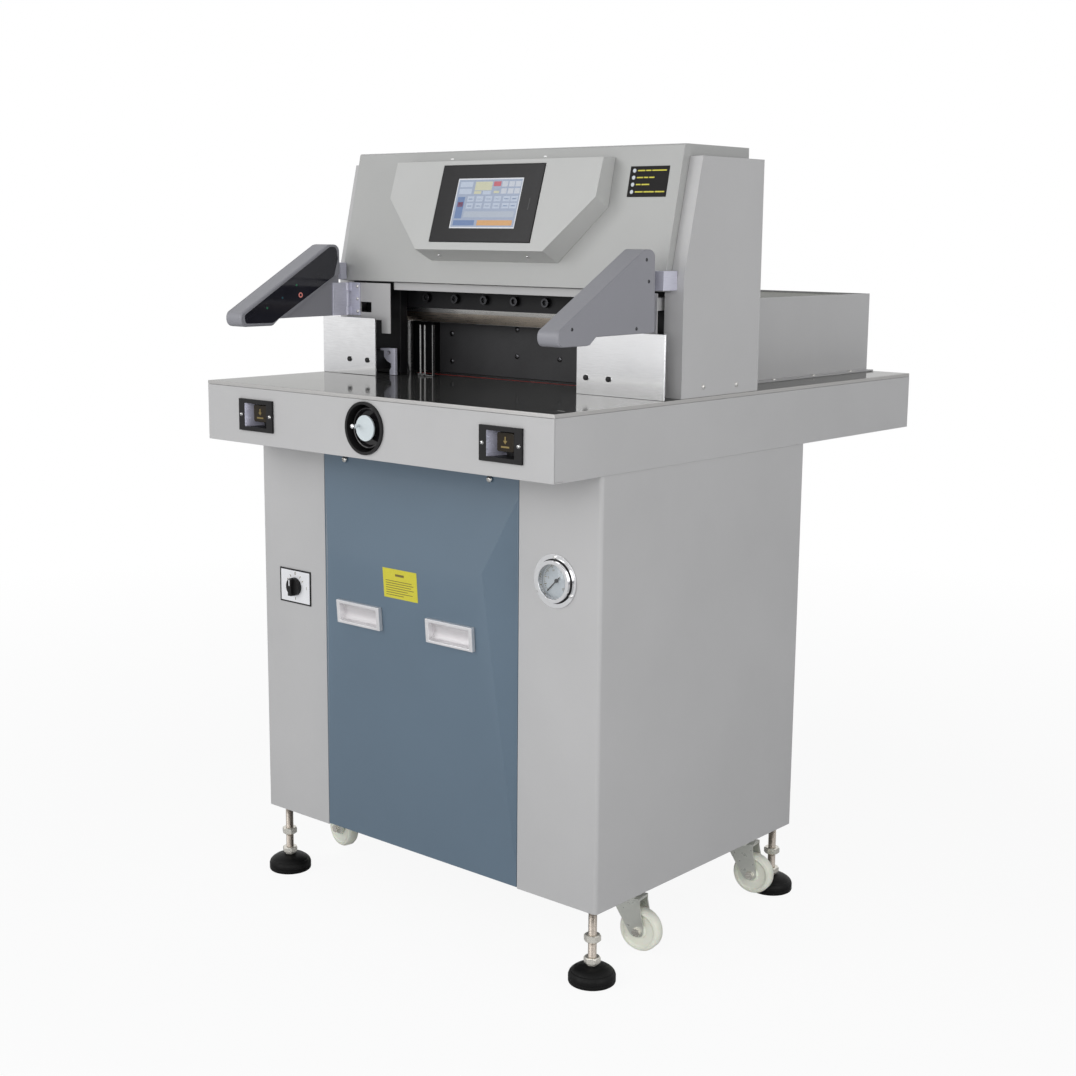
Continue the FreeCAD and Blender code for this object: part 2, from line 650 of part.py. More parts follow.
# Clamp: a beam behind the blade, pulled down by two rods and a yoke under the table.
node("clamp_beam", prism("YZ_Plane", -dim.clamp_half, 2 * dim.clamp_half, (
    (dim.clamp_front, dim.clamp_bottom), (dim.clamp_back, dim.clamp_bottom),
    (dim.clamp_back, dim.clamp_top), (dim.clamp_back - 14, dim.clamp_top),
    (dim.clamp_back - 14, dim.clamp_bottom + 60), (dim.clamp_front + 7, dim.clamp_bottom + 60),
    (dim.clamp_front + 7, dim.clamp_top - 80), (dim.clamp_front, dim.clamp_top - 80),
)))
node("clamp_rods", fuse(
    rod("z", -dim.pull_rod_x, dim.pull_rod_y, dim.yoke_top - 2, dim.pull_rod_r, dim.clamp_bottom - dim.yoke_top + 2),
    rod("z", dim.pull_rod_x, dim.pull_rod_y, dim.yoke_top - 2, dim.pull_rod_r, dim.clamp_bottom - dim.yoke_top + 2),
    box(-dim.clamp_half, dim.clamp_half, dim.pull_rod_y - 12, dim.pull_rod_y + 12, dim.yoke_bottom, dim.yoke_top),
    rod("z", 0, dim.pull_rod_y, 500, dim.clamp_piston_r, dim.yoke_bottom - 498),
))

# Cylinders on the bridge: the upright one pulls the yoke, the leaning one pulls the knife along its own line.
clamp_barrel = cut(
    fuse(rod("z", 0, dim.pull_rod_y, bridge_z + 15, 40, 250), rod("z", 0, dim.pull_rod_y, 625, 30, 20)),
    rod("z", 0, dim.pull_rod_y, 396, dim.clamp_piston_r + dim.fit_gap, 300),
)
knife_barrel = cut(
    fuse(rod(knife_turn, on_knife_line(620), dim.knife_rod_y, 620, 34, 220),
         rod(knife_turn, on_knife_line(634), dim.knife_rod_y, 634, 24, 20)),
    rod(knife_turn, on_knife_line(660), dim.knife_rod_y, 660, dim.knife_rod_r + dim.fit_gap, 250),
)
knife_foot = cut(
    box(-170.0, -60.0, -150.0, -126.0, bridge_z + 15, 470),
    rod(knife_turn, on_knife_line(620), dim.knife_rod_y, 620, 34, 220),
)
node("hydraulic_cylinders", group(clamp_barrel, knife_barrel, knife_foot))

# Power unit: an oil tank on the floor plate with a lid flange, an upright motor, the pump bell and a valve block.
tank = cut(
    box(-40.0, 330.0, -345.0, -195.0, dim.cabinet_bottom + 6, 330),
    box(-37.0, 327.0, -342.0, -198.0, dim.cabinet_bottom + 9, 331),
)
tank_lid = box(-48.0, 338.0, -353.0, -187.0, 330, 338)
motor = fuse(
    rod("z", 235, -270, 338, 45, 40), rod("z", 235, -270, 376, 62, 160), rod("z", 235, -270, 534, 55, 22),
    box(285.0, 325.0, -300.0, -240.0, 420, 500),
)
valves = fuse(box(20.0, 130.0, -310.0, -230.0, 338, 400), box(35.0, 75.0, -300.0, -240.0, 398, 470),
              box(85.0, 125.0, -300.0, -240.0, 398, 470))
cap = fuse(rod("z", 0, -300, 338, 14, 10), rod("z", 0, -300, 348, 20, 14))
node("hydraulic_unit", group(tank, tank_lid, motor, valves, cap))

# Steel pipes from the valve block to the two cylinders, each bend an elbow block.
pipe_r = 5
pipes = []
for level, points in (
    (0, ((60, -229.9, 360), (60, -200, 360), (60, -200, 600), (60, -106, 600), (40.2, -106, 600))),
    (1, ((100, -229.9, 375), (100, -215, 375), (100, -215, 520), (-100, -215, 520), (-100, -165, 520))),
):
    run = []
    for i in range(len(points) - 1):
        a = FreeCAD.Vector(*points[i])
        b = FreeCAD.Vector(*points[i + 1])
        way = b - a
        turn = FreeCAD.Rotation(FreeCAD.Vector(0, 0, 1), way)
        run.append(rod(turn, a.x, a.y, a.z, pipe_r, way.Length))
        if i:
            run.append(box(a.x - 8.0, a.x + 8.0, a.y - 8.0, a.y + 8.0, a.z - 8.0, a.z + 8.0))
    pipes.append(fuse(*run))
pipes[1] = cut(pipes[1], rod(knife_turn, on_knife_line(620), dim.knife_rod_y, 620, 34, 220))
node("hydraulic_pipes", group(*pipes))

# Control box on the left: a sheet case with its door, a mounting plate with the drive, the contactors and a
# terminal rail on it, and the cable gland that goes through the rear panel.
gland = fuse(
    rod("y", -260, 140, 190, 10, dim.cabinet_back - 140),
    hexagon("y", -260, dim.cabinet_back, 190, 26, 6),
    rod("y", -260, dim.cabinet_back + 6, 190, 11, 12),
    hexagon("y", -260, dim.cabinet_back - 10, 190, 26, 6),
)
gland = cut(gland, rod("y", -260, 139, 190, 6, 60))
case = cut(box(-340.0, -150.0, -20.0, 138.0, 215, 700), box(-338.0, -152.0, -21.0, 136.0, 217, 698))
case_door = fuse(box(-336.0, -154.0, -22.0, -20.2, 219, 696), rod("y", -165, -26, 460, 6, 5))
mounting_plate = fuse(
    box(-330.0, -160.0, 132.0, 136.0, 225, 690),
    box(-315.0, -215.0, 60.0, 133.0, 500, 660),
    *[box(x, x + 40.0, 70.0, 133.0, 400, 470) for x in (-315.0, -270.0, -225.0)],
    box(-320.0, -170.0, 100.0, 133.0, 300, 330),
    box(-320.0, -170.0, 122.0, 133.0, 250, 262),
)
node("electrical_box", group(case, case_door, mounting_plate, gland))

# Back gauge: a braced face plate that slides on the table, with a nut hanging through the table slot.
gauge_y = dim.gauge_front
hanger = cut(
    fuse(box(-8.0, 8.0, gauge_y + 20, gauge_y + 60, dim.screw_z + 10, top + 2),
         box(-18.0, 18.0, gauge_y + 20, gauge_y + 60, dim.screw_z - 18, dim.screw_z + 18)),
    rod("y", 0, gauge_y + 19, dim.screw_z, dim.screw_r + dim.fit_gap, 42),
)
ribs = [
    prism("YZ_Plane", x - 5.0, 10, (
        (gauge_y + 11, top + 12), (gauge_y + 62, top + 12), (gauge_y + 11, dim.gauge_top - 8),
    ))
    for x in (-180.0, -60.0, 60.0, 180.0)
]
gauge_screws = [
    rod("y", x, gauge_y - 1, z, 4, 2)
    for x, z in ((-207, 982), (-207, 932), (-49, 996), (-49, 949), (49, 996), (49, 949), (207, 982), (207, 932))
]
node("back_gauge", fuse(
    box(-dim.gauge_half, dim.gauge_half, gauge_y, gauge_y + 12, top + 0.5, dim.gauge_top),
    box(-dim.gauge_half, dim.gauge_half, gauge_y + 10, gauge_y + 66, top + 0.5, top + 13),
    hanger, *ribs, *gauge_screws
))

# Lead screw on the handwheel's spindle, and the motor that turns it through a belt at the back.
node("lead_screw", fuse(
    rod("y", 0, -478, dim.screw_z, dim.screw_r, 976),
    rod("y", 0, 486, dim.screw_z, 15, 10),
))
node("gauge_drive", group(
    cut(
        box(-28.0, 112.0, 482.0, 504.0, 822.0, 890.6),
        box(-26.0, 110.0, 484.0, 502.0, 824.0, 888.6),
        rod("y", 0, 481, dim.screw_z, dim.screw_r + dim.fit_gap, 4),
    ),
    fuse(box(42.0, 98.0, 404.0, 482.0, 824.0, 880.0), box(52.0, 88.0, 392.0, 404.0, 834.0, 870.0)),
    cut(box(-22.0, 22.0, -461.0, -449.0, 838.0, 890.7), rod("y", 0, -462, dim.screw_z, dim.screw_r + dim.fit_gap, 14)),
))

# Handwheel: a dark wheel with a light cap and a bright crank knob.
node("handwheel", fuse(
    rod("y", 0, front + 6, dim.screw_z, 33, 10), rod("y", 0, front + 2, dim.screw_z, 14, 5),
    rod("y", 0, front - 0.5, dim.screw_z, 20.5, 3), rod("y", 0, front + 14, dim.screw_z, 6, 9),
    rod("y", -12.3, front - 10, dim.screw_z + 3.2, 2.5, 12), rod("y", -12.3, front - 17.5, dim.screw_z + 3.2, 3.9, 9),
))

# Apron fittings: the handwheel's bezel cup and the two button housings, black plastic.
bezel = cut(
    fuse(rod("y", 0, front - 4, dim.screw_z, dim.bezel_ring_r, 4),
         rod("y", 0, front - 1, dim.screw_z, dim.bezel_ring_r - 2.2, 27)),
    rod("y", 0, front - 5, dim.screw_z, dim.bezel_ring_r - 4.5, 29),
    rod("y", 0, front + 20, dim.screw_z, dim.screw_r + 1, 8),
)
housings = []
for x in (dim.button_left_x, dim.button_right_x):
    plate = box(x - 42, x + 42, front - 4, front, dim.button_z - 26.5, dim.button_z + 26.5)
    cup = box(x - 29.7, x + 29.7, front - 1, front + 30, dim.button_z - 21.7, dim.button_z + 21.7)
    recess = prism("XY_Plane", dim.button_z - 19.5, 39, (
        (x - 27.5, front - 5), (x + 27.5, front - 5), (x + 27.5, front + 28), (x - 15, front + 28),
    ))
    hole = box(x - 8, x + 16, front + 20, front + 32, dim.button_z - 12, dim.button_z + 12)
    screws = [rod("y", x + dx, front - 5.5, dim.button_z, 3, 2) for dx in (-36, 36)]
    housings.append(fuse(cut(fuse(plate, cup), recess, hole), *screws))
node("apron_fittings", group(bezel, *housings))

for name, x in (("left", dim.button_left_x), ("right", dim.button_right_x)):
    cap_x = x + 3.2
    corners = (
        (cap_x - 16.5, dim.key_z - 14), (cap_x + 16.5, dim.key_z - 14),
        (cap_x + 16.5, dim.key_z + 14), (cap_x - 16.5, dim.key_z + 14),
    )
    key = prism("XZ_Plane", front + 4, 12, corners, ((3, corners),))
    stem = box(cap_x - 7, cap_x + 7, front + 15, front + 34, dim.key_z - 7, dim.key_z + 7)
    node("cut_button_" + name, fuse(key, stem))

# Hood: one folded sheet, the leaning front and the flat cap, with turned edges on both sides and below.
slope = (dim.hood_high_y - dim.hood_low_y) / (dim.hood_top - dim.hood_low_z)
hood_angle = math.atan(value(slope))
rise_len = math.cos(hood_angle)
turn_z = dim.hood_top - dim.hood_cap
turn_y = dim.hood_low_y + dim.hood_turn / rise_len
hood_outer = prism("YZ_Plane", -dim.hood_half, 2 * dim.hood_half, (
    (dim.hood_low_y, dim.hood_low_z), (dim.hood_low_y + dim.hood_turn, dim.hood_low_z - 2.2),
    (turn_y + (turn_z - dim.hood_low_z) * slope, turn_z), (dim.hood_back, turn_z),
    (dim.hood_back, dim.hood_top), (dim.hood_high_y, dim.hood_top),
), ((4, ((dim.hood_high_y, dim.hood_top),)),))
skin_y = dim.hood_low_y + t / rise_len
hood_inner = prism("YZ_Plane", -dim.hood_half + t, 2 * dim.hood_half - 2 * t, (
    (skin_y + 2.2 * slope, dim.hood_low_z + 2.2), (-150, dim.hood_low_z + 2.2), (-120, turn_z - 10),
    (dim.hood_back + 5, turn_z - 10), (dim.hood_back + 5, dim.hood_top - t),
    (skin_y + (dim.hood_top - t - dim.hood_low_z) * slope, dim.hood_top - t),
))
node("hood", cut(hood_outer, hood_inner))

# Console: a raised faceted housing on the hood. Its face leans back more than the hood.
lean_hood = -math.degrees(hood_angle)
lean_face = lean_hood - 4.9
out_y = -math.cos(hood_angle)
out_z = math.sin(hood_angle)
face_out = 47.4


def hood_plane(out):
    """Offset and lift of a plane parallel to the hood's front, at a distance in front of it."""
    return -(dim.hood_low_y + out * out_y), dim.hood_low_z + out * out_z


def console_outline(inset, low, middle, high):
    """The console's outline: a trapezoid below and a rectangle above."""
    wide = dim.console_half - inset
    tight = dim.console_low_half - inset * 0.7
    return ((-tight, low + inset), (tight, low + inset), (wide, middle + inset * 0.4), (wide, high - inset),
            (-wide, high - inset), (-wide, middle + inset * 0.4))


shell = []
for inset, base_out, face_step in ((0.0, 0.15, 0.0), (2.0, -1.0, 2.2)):
    offset, lift = hood_plane(base_out)
    shell.append((console_outline(inset, 39.0, 129.5, 209.6), offset, lean_hood, lift))
    offset, lift = hood_plane(face_out - face_step)
    shell.append((console_outline(inset, 49.5, 139.0, 203.75), offset, lean_face, lift))
console = lofted(*shell)
screen_s = 129.0
screen_out = 36.3
screen_y = dim.hood_low_y + screen_s * math.sin(hood_angle) + screen_out * out_y
screen_z = dim.hood_low_z + screen_s * math.cos(hood_angle) + screen_out * out_z
screen_turn = FreeCAD.Rotation(FreeCAD.Vector(1, 0, 0), 90 + lean_face)


def on_screen(x0, x1, y0, y1, z0, z1):
    """A block square to the console's face, measured from the middle of the bezel."""
    block = doc.addObject("Part::Box", unique("block"))
    block.setExpression("Length", formula(x1 - x0))
    block.setExpression("Width", formula(y1 - y0))
    block.setExpression("Height", formula(z1 - z0))
    shift = screen_turn.multVec(FreeCAD.Vector(value(x0), value(y0), value(z0)))
    return put(block, shift.x, screen_y + shift.y, screen_z + shift.z, screen_turn)


node("console_housing", cut(
    console,
    on_screen(-dim.bezel_w / 2 - 0.5, dim.bezel_w / 2 + 0.5, -dim.bezel_tall / 2 - 0.5, dim.bezel_tall / 2 + 0.5,
              -6, 5),
))
node("touch_screen", cut(
    fuse(
        on_screen(-dim.bezel_w / 2, dim.bezel_w / 2, -dim.bezel_tall / 2, dim.bezel_tall / 2,
                  -3, 1),
        on_screen(-95, 95, -55, 55, -24, -2),
    ),
    on_screen(-73, 73, -43, 43, 0.2, 2),
))

# Side casings: each is one sheet with turned front, top and back edges around the upright.
casings = {}
for name, sign in (("left", -1), ("right", 1)):
    x0, x1 = side(sign, dim.frame_outer + 5, dim.cabinet_half)
    low = top + 0.3
    outer = prism("YZ_Plane", x0, x1 - x0, (
        (dim.casing_front, low), (dim.casing_back, low), (dim.casing_back, dim.casing_top),
        (dim.casing_high_y, dim.casing_top), (dim.casing_front + 2, dim.casing_bend_z),
        (dim.casing_front, dim.casing_bend_z - 12),
    ))
    x0, x1 = side(sign, dim.frame_outer + 4, dim.cabinet_half - t)
    inner = prism("YZ_Plane", x0, x1 - x0, (
        (dim.casing_front + t, low - 1), (dim.casing_back - t, low - 1), (dim.casing_back - t, dim.casing_top - t),
        (dim.casing_high_y + t + 0.3, dim.casing_top - t), (dim.casing_front + t + 2, dim.casing_bend_z),
        (dim.casing_front + t, dim.casing_bend_z - 12),
    ))
    x0, x1 = side(sign, dim.frame_outer + 4, dim.hood_half + 0.5)
    relief = box(x0, x1, dim.casing_front - 1, dim.casing_back - 5, dim.hood_low_z - 2, dim.casing_top + 1)
    x0, x1 = side(sign, dim.cabinet_half - 0.5, dim.cabinet_half + 1.5)
    screws = [rod("x", x0, y, z, 4, 2.0) for y, z in ((-137, 927), (-45, 925))]
    casings[name] = fuse(cut(outer, inner, relief), *screws)
node("side_casing_left", casings["left"])
node("side_casing_right", casings["right"])

# Back cover: sheet turned forward under the cap, with the opening that the back gauge and the sheets pass through.
node("back_cover", cut(
    fuse(
        box(-dim.cabinet_half, dim.cabinet_half, dim.casing_back + 0.3, dim.rear_front, top + 0.3, dim.casing_top),
        box(-dim.frame_outer - 3, dim.frame_outer + 3, dim.casing_back - 36, dim.casing_back + 1,
            dim.casing_top - t, dim.casing_top),
    ),
    box(-dim.rear_half + 8, dim.rear_half - 8, dim.casing_back - 1, dim.rear_front + 1, top, dim.rear_top - 10),
))

# Throat covers: thin plates under the hood on both sides, and the strip between them.
covers = []
for sign in (-1, 1):
    y = dim.throat_cover
    points = ((349.6, 1008), (260, 1008), (260, 985), (238, 985), (238, 1073), (349.6, 1073))
    plate = prism("XZ_Plane", y, t, [(sign * px, pz) for px, pz in points])
    x0, x1 = side(sign, 286, 313)
    plate = cut(plate, box(x0 + 0.0, x1 + 0.0, y - 1, y + t + 1, 1021, 1039))
    x0, x1 = side(sign, 318, 343)
    covers.append(fuse(plate, box(x0 + 0.0, x1 + 0.0, y + t - 0.5, dim.frame_front, 1046, 1066)))
covers.append(box(-237.5, 237.5, -204.0, -202.0, 1062.0, 1075.3))
node("throat_covers", group(*covers))

# Guard plates: polished plates in front of the uprights, each on a block with two screws.
guards = []
for x0, x1, screws in ((-387.0, -252.0, (-317.6, -271.8)), (210.0, 384.0, (229.7, 275.3))):
    y = dim.guard_front
    plate = box(x0, x1, y, y + dim.guard_t, top + 0.3, dim.guard_top)
    block = box(screws[0] - 8.0, screws[1] + 8.0, y + dim.guard_t - 0.5, dim.frame_front, 922.0, 954.0)
    heads = [rod("y", x, y - 2.5, 938, 4.5, 3) for x in screws]
    guards.append(fuse(plate, block, *heads))
node("guard_plates", group(*guards))

# Rear guard: three walls with a stiff rim and inner ledges that the lid rests on.
guard_low = top + 0.3
half = dim.rear_half
walls = [
    box(-half, -half + t, dim.rear_front, dim.rear_back, guard_low, dim.rear_top),
    box(half - t, half, dim.rear_front, dim.rear_back, guard_low, dim.rear_top),
    box(-half, half, dim.rear_back - t, dim.rear_back, guard_low, dim.rear_top),
    box(-half, -half + 4, dim.rear_front, dim.rear_back, dim.rear_top - 12, dim.rear_top),
    box(half - 4, half, dim.rear_front, dim.rear_back, dim.rear_top - 12, dim.rear_top),
    box(-half, half, dim.rear_back - 4, dim.rear_back, dim.rear_top - 12, dim.rear_top),
    box(-half + 3, -half + 12, 60.0, dim.rear_back - 3, dim.rear_top - 12, dim.rear_top - 10),
    box(half - 12, half - 3, 60.0, dim.rear_back - 3, dim.rear_top - 12, dim.rear_top - 10),
    box(half - 1, half + 15, dim.rear_front + 3, dim.rear_back - 1, guard_low, guard_low + 2.5),
    box(-half - 15, -half + 1, dim.rear_front + 3, dim.rear_back - 1, guard_low, guard_low + 2.5),
    rod("x", -half + 2, dim.lid_pin_y, dim.lid_pin_z, 1.5, 10),
    rod("x", half - 12, dim.lid_pin_y, dim.lid_pin_z, 1.5, 10),
]
node("rear_guard", fuse(*walls))
lid_reach = half - 4.5
node("rear_lid", cut(
    fuse(
        box(-lid_reach, lid_reach, dim.lid_pin_y, dim.rear_back - 4.6, dim.lid_pin_z - 1.5, dim.lid_pin_z + 1.5),
        rod("x", -lid_reach, dim.lid_pin_y, dim.lid_pin_z, 3, 2 * lid_reach),
    ),
    rod("x", -half + 1, dim.lid_pin_y, dim.lid_pin_z, 1.5 + dim.fit_gap, 11.5),
    rod("x", half - 12.5, dim.lid_pin_y, dim.lid_pin_z, 1.5 + dim.fit_gap, 12),
))

# Light curtain arms: thick housings with a recessed gusset inside, on butt hinges at the throat covers, and the
# corner brackets that hold the hood to the casings.
leaves = []
for name, sign in (("left", -1), ("right", 1)):
    x0, x1 = side(sign, dim.arm_in, dim.arm_out)
    outline = (
        (-245, 1015), (-387, 1014), (-403, 1002), (-474, 1002), (-474, 1023.8), (-273, 1140), (-247, 1140),
    )
    rounds = (
        (12, ((-247, 1140),)), (12, ((-474, 1002),)), (11.5, ((-474, 1023.8),)),
        (10, ((-273, 1140),)), (3, ((-245, 1015),)),
    )
    arm = prism("YZ_Plane", x0, x1 - x0, outline, rounds)
    g0, g1 = side(sign, dim.arm_in - 1, dim.arm_in + 5)
    gusset = prism("YZ_Plane", g0, g1 - g0, ((-382, 1010), (-240, 1010), (-240, 1090), (-261, 1084)))
    w0, w1 = side(sign, dim.arm_in - 1, dim.arm_in + 1.5)
    window = prism("YZ_Plane", w0, w1 - w0, (
        (-252, 1134), (-463, 1017), (-458, 1007), (-403, 1007), (-260.5, 1084.6), (-251, 1116),
    ))
    pin_x = sign * dim.arm_pin_x
    l0, l1 = side(sign, dim.arm_in + 2, dim.arm_in + 5.2)
    swing = fuse(
        box(l0, l1, -262, dim.arm_pin_y, 1030.2, 1057.8),
        box(l0, l1, -262, dim.arm_pin_y - 5.8, 1015.0, 1073.0),
        rod("z", pin_x, dim.arm_pin_y, 1030.2, 5, 27.6),
    )
    arm = cut(arm, gusset, window)
    # A short link carries the leaf past the arm's back edge.
    arm = cut(fuse(arm, swing), rod("z", pin_x, dim.arm_pin_y, 1025, dim.arm_pin_r + dim.fit_gap, 40))
    node("arm_" + name, arm)
    n0, n1 = side(sign, dim.arm_pin_x - 2, dim.arm_pin_x + 2)
    f0, f1 = side(sign, 313, 340)
    c0, c1 = side(sign, 361.5, 373.5)
    b0, b1 = side(sign, 347, 362)
    plate_back = dim.throat_cover
    leaves.append(fuse(
        rod("z", pin_x, dim.arm_pin_y, 1015, dim.arm_pin_r, 58),
        rod("z", pin_x, dim.arm_pin_y, 1015, 5, 15), rod("z", pin_x, dim.arm_pin_y, 1058, 5, 15),
        box(n0, n1, dim.arm_pin_y + 2, plate_back - 1, 1015, 1030),
        box(n0, n1, dim.arm_pin_y + 2, plate_back - 1, 1058, 1073),
        box(f0 + 0.0, f1 + 0.0, plate_back - 3, plate_back, 1015, 1073),
    ))
    leaves.append(fuse(
        box(c0 + 0.0, c1 + 0.0, -230.0, dim.casing_front, 1078.0, 1107.5),
        box(b0 + 0.0, b1 + 0.0, -230.0, -215.2, 1078.0, 1107.5),
    ))
node("arm_hinge_leaves", group(*leaves))

# Mains switch: a flat plate with the switch body behind it, and a round knob with a grip bar.
x, z = dim.switch_x, dim.switch_z
behind = dim.cabinet_front + t
node("switch_plate", group(
    cut(box(x - 39.5, x + 39.5, dim.cabinet_front - 1.5, dim.cabinet_front, z - 30, z + 30),
        rod("y", x, dim.cabinet_front - 2, z, 4 + dim.fit_gap, 3)),
    cut(box(x - 25, x + 25, behind, behind + 45, z - 25, z + 25),
        rod("y", x, behind - 1, z, 4 + dim.fit_gap, 20)),
))
node("switch_knob", fuse(
    rod("y", x, dim.cabinet_front - 9.5, z, 16, 7.5),
    box(x - 4, x + 4, dim.cabinet_front - 16, dim.cabinet_front - 8.5, z - 15, z + 15),
    rod("y", x, dim.cabinet_front - 3, z, 4, 18),
))

# Pressure gauge: flange with three screws, bright bezel, dial and the case behind the sheet.
x, z = dim.dial_x, dim.dial_z
face = dim.cabinet_front
case = cut(
    fuse(rod("y", x, face - 2.5, z, dim.dial_flange_r, 2.5), rod("y", x, face - 10, z, 33, 8),
         rod("y", x, face - 1, z, 30, 38), rod("y", x, face + 36, z, 8, 20)),
    rod("y", x, face - 11, z, 27, 15),
    rod("y", x, face + 3, z, 1.5 + dim.fit_gap, 8),
)
gauge_heads = [
    rod("y", x + 37.5 * math.cos(math.radians(a)), face - 4.5, z + 37.5 * math.sin(math.radians(a)), 2.8, 2.2)
    for a in (90, 210, 330)
]
node("pressure_gauge", fuse(case, *gauge_heads))
needle_out = FreeCAD.Rotation(FreeCAD.Vector(0, 1, 0), 45)
needle = fuse(
    rod("y", x, face + 0.8, z, 1.5, 8), rod("y", x, face + 0.8, z, 3, 1.6),
)
pointer = doc.addObject("Part::Box", unique("block"))
pointer.Length = 1.4
pointer.Width = 0.8
pointer.Height = 32
tip = needle_out.multVec(FreeCAD.Vector(-0.7, 0, -24))
put(pointer, x + tip.x, face + 1, z + tip.z, needle_out)
node("gauge_needle", fuse(needle, pointer))

# Adjustable feet: a domed pad, a threaded stem and two lock nuts.
for name, x, y in (
    ("front_left", -dim.foot_x, dim.foot_front), ("front_right", dim.foot_x, dim.foot_front),
    ("rear_left", -dim.foot_x, dim.foot_rear), ("rear_right", dim.foot_x, dim.foot_rear),
):
    pad = turned((
        (0, 0), (dim.foot_pad_r - 2, 0), (dim.foot_pad_r, 3), (dim.foot_pad_r, 13), (dim.foot_pad_r - 3, 20),
        (dim.foot_pad_r - 12, 26), (12, 29), (0, 29),
    ), x, y, 0)
    node("foot_" + name, fuse(
        pad, hexagon("z", x, y, 27, 17, 6), rod("z", x, y, 28, dim.foot_stem_r, 142),
        hexagon("z", x, y, 32, 24, 10.5), hexagon("z", x, y, 68, 24, 11.5),
    ))

# Castors: a fixed top plate on a spacer, a swivelling fork and a nylon wheel that hangs clear of the floor.
plates = []
for name, sx, y in (
    ("front_left", -1, dim.castor_front), ("front_right", 1, dim.castor_front),
    ("rear_left", -1, dim.castor_rear), ("rear_right", 1, dim.castor_rear),
):
    x = sx * dim.castor_x
    plates.append(fuse(
        box(x - 30, x + 30, y - 45, y + 45, 113, 117), box(x - 26, x + 26, y - 40, y + 40, 116, dim.cabinet_bottom),
        *[hexagon("z", x + dx, y + dy, 107, 12, 7) for dx in (-21, 21) for dy in (-36, 36)]
    ))
    swivel = FreeCAD.Rotation(FreeCAD.Vector(0, 0, 1), 10 if sx > 0 else 170)
    legs = []
    for near in (13.2, -16.2):
        legs.append(prism("XZ_Plane", near, 3, (
            (-20, 100), (-20, 92), (16, 36), (38, 36), (38, 52), (30, 92), (30, 100),
        ), ((10, ((16, 36), (38, 36))),)))
    fork = fuse(
        rod("z", 0, 0, 98, 24, 14.7), box(-20, 30, -16.2, 16.2, 97, 101), *legs,
        rod("y", dim.castor_trail, -19, dim.wheel_z, dim.axle_r, 38),
        hexagon("y", dim.castor_trail, -22.2, dim.wheel_z, 13, 6), hexagon("y", dim.castor_trail, 16.2, dim.wheel_z, 13, 6)
    )
    node("castor_fork_" + name, put(group(fork), x, y, 0, swivel))
    middle = swivel.multVec(FreeCAD.Vector(value(dim.castor_trail), 0, 0))
    r, w = dim.wheel_r, dim.wheel_half
    wheel = turned((
        (dim.axle_r + dim.fit_gap, -w - 0.6), (11, -w - 0.6), (13, -w + 2.5), (r - 10, -w + 2.5), (r - 7, -w),
        (r - 2.5, -w + 1.5), (r, -w + 6), (r, w - 6), (r - 2.5, w - 1.5), (r - 7, w), (r - 10, w - 2.5),
        (13, w - 2.5), (11, w + 0.6), (dim.axle_r + dim.fit_gap, w + 0.6),
    ), x + middle.x, y + middle.y, dim.wheel_z, swivel * FreeCAD.Rotation(FreeCAD.Vector(1, 0, 0), -90))
    node("castor_wheel_" + name, wheel)
node("castor_plates", group(*plates))

doc.recompute()

for thing in doc.Objects:
    if "Invalid" in thing.State or "Error" in thing.State:
        raise RuntimeError("%s (%s) did not compute: %s" % (thing.Name, thing.Label, thing.State))
for thing in nodes:
    shape = thing.Shape
    if shape.isNull() or not shape.isValid() or not shape.Solids:
        raise RuntimeError("%s has no valid solid" % thing.Label)

os.makedirs("parts", exist_ok=True)
for thing in nodes:
    thing.Shape.exportStep("parts/%s.step" % thing.Label)
whole = Part.makeCompound([thing.Shape for thing in nodes]).BoundBox
print("%d sub-parts, box %.1f..%.1f, %.1f..%.1f, %.1f..%.1f" % (
    len(nodes), whole.XMin, whole.XMax, whole.YMin, whole.YMax, whole.ZMin, whole.ZMax))
for thing in nodes:
    print(thing.Label, len(thing.Shape.Solids), round(thing.Shape.Volume / 1000, 1))
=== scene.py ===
import bmesh
import bpy
import math
from mathutils import Matrix, Vector


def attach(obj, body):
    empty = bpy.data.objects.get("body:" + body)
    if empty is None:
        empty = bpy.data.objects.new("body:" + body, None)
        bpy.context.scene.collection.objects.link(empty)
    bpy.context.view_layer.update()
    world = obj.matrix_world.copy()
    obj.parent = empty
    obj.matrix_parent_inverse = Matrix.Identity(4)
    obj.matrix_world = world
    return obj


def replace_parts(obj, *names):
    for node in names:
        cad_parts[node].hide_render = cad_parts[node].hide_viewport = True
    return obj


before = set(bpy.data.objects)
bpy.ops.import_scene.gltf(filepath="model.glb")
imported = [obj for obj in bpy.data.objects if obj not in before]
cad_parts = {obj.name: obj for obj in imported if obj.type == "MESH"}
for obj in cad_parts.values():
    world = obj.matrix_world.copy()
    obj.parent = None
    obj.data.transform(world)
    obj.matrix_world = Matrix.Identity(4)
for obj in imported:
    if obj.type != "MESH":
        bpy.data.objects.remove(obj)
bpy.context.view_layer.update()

# Camera. It stands about three metres away, right of the machine and at the height of its hood, and looks a
# little down and to the left. The numbers are the place and the turns of the photograph's viewpoint.
yaw, pitch, roll = (math.radians(a) for a in (40.7525, 10.3401, 0.4878))
ahead = Vector((-math.sin(yaw) * math.cos(pitch), math.cos(yaw) * math.cos(pitch), -math.sin(pitch)))
level = Vector((math.cos(yaw), math.sin(yaw), 0))
upward = level.cross(ahead)
across = math.cos(roll) * level + math.sin(roll) * upward
above = math.cos(roll) * upward - math.sin(roll) * level
bpy.ops.object.camera_add()
camera = bpy.context.object
camera.name = "viewpoint"
camera.data.lens = 55.88
camera.data.sensor_width = 36
camera.data.clip_end = 60
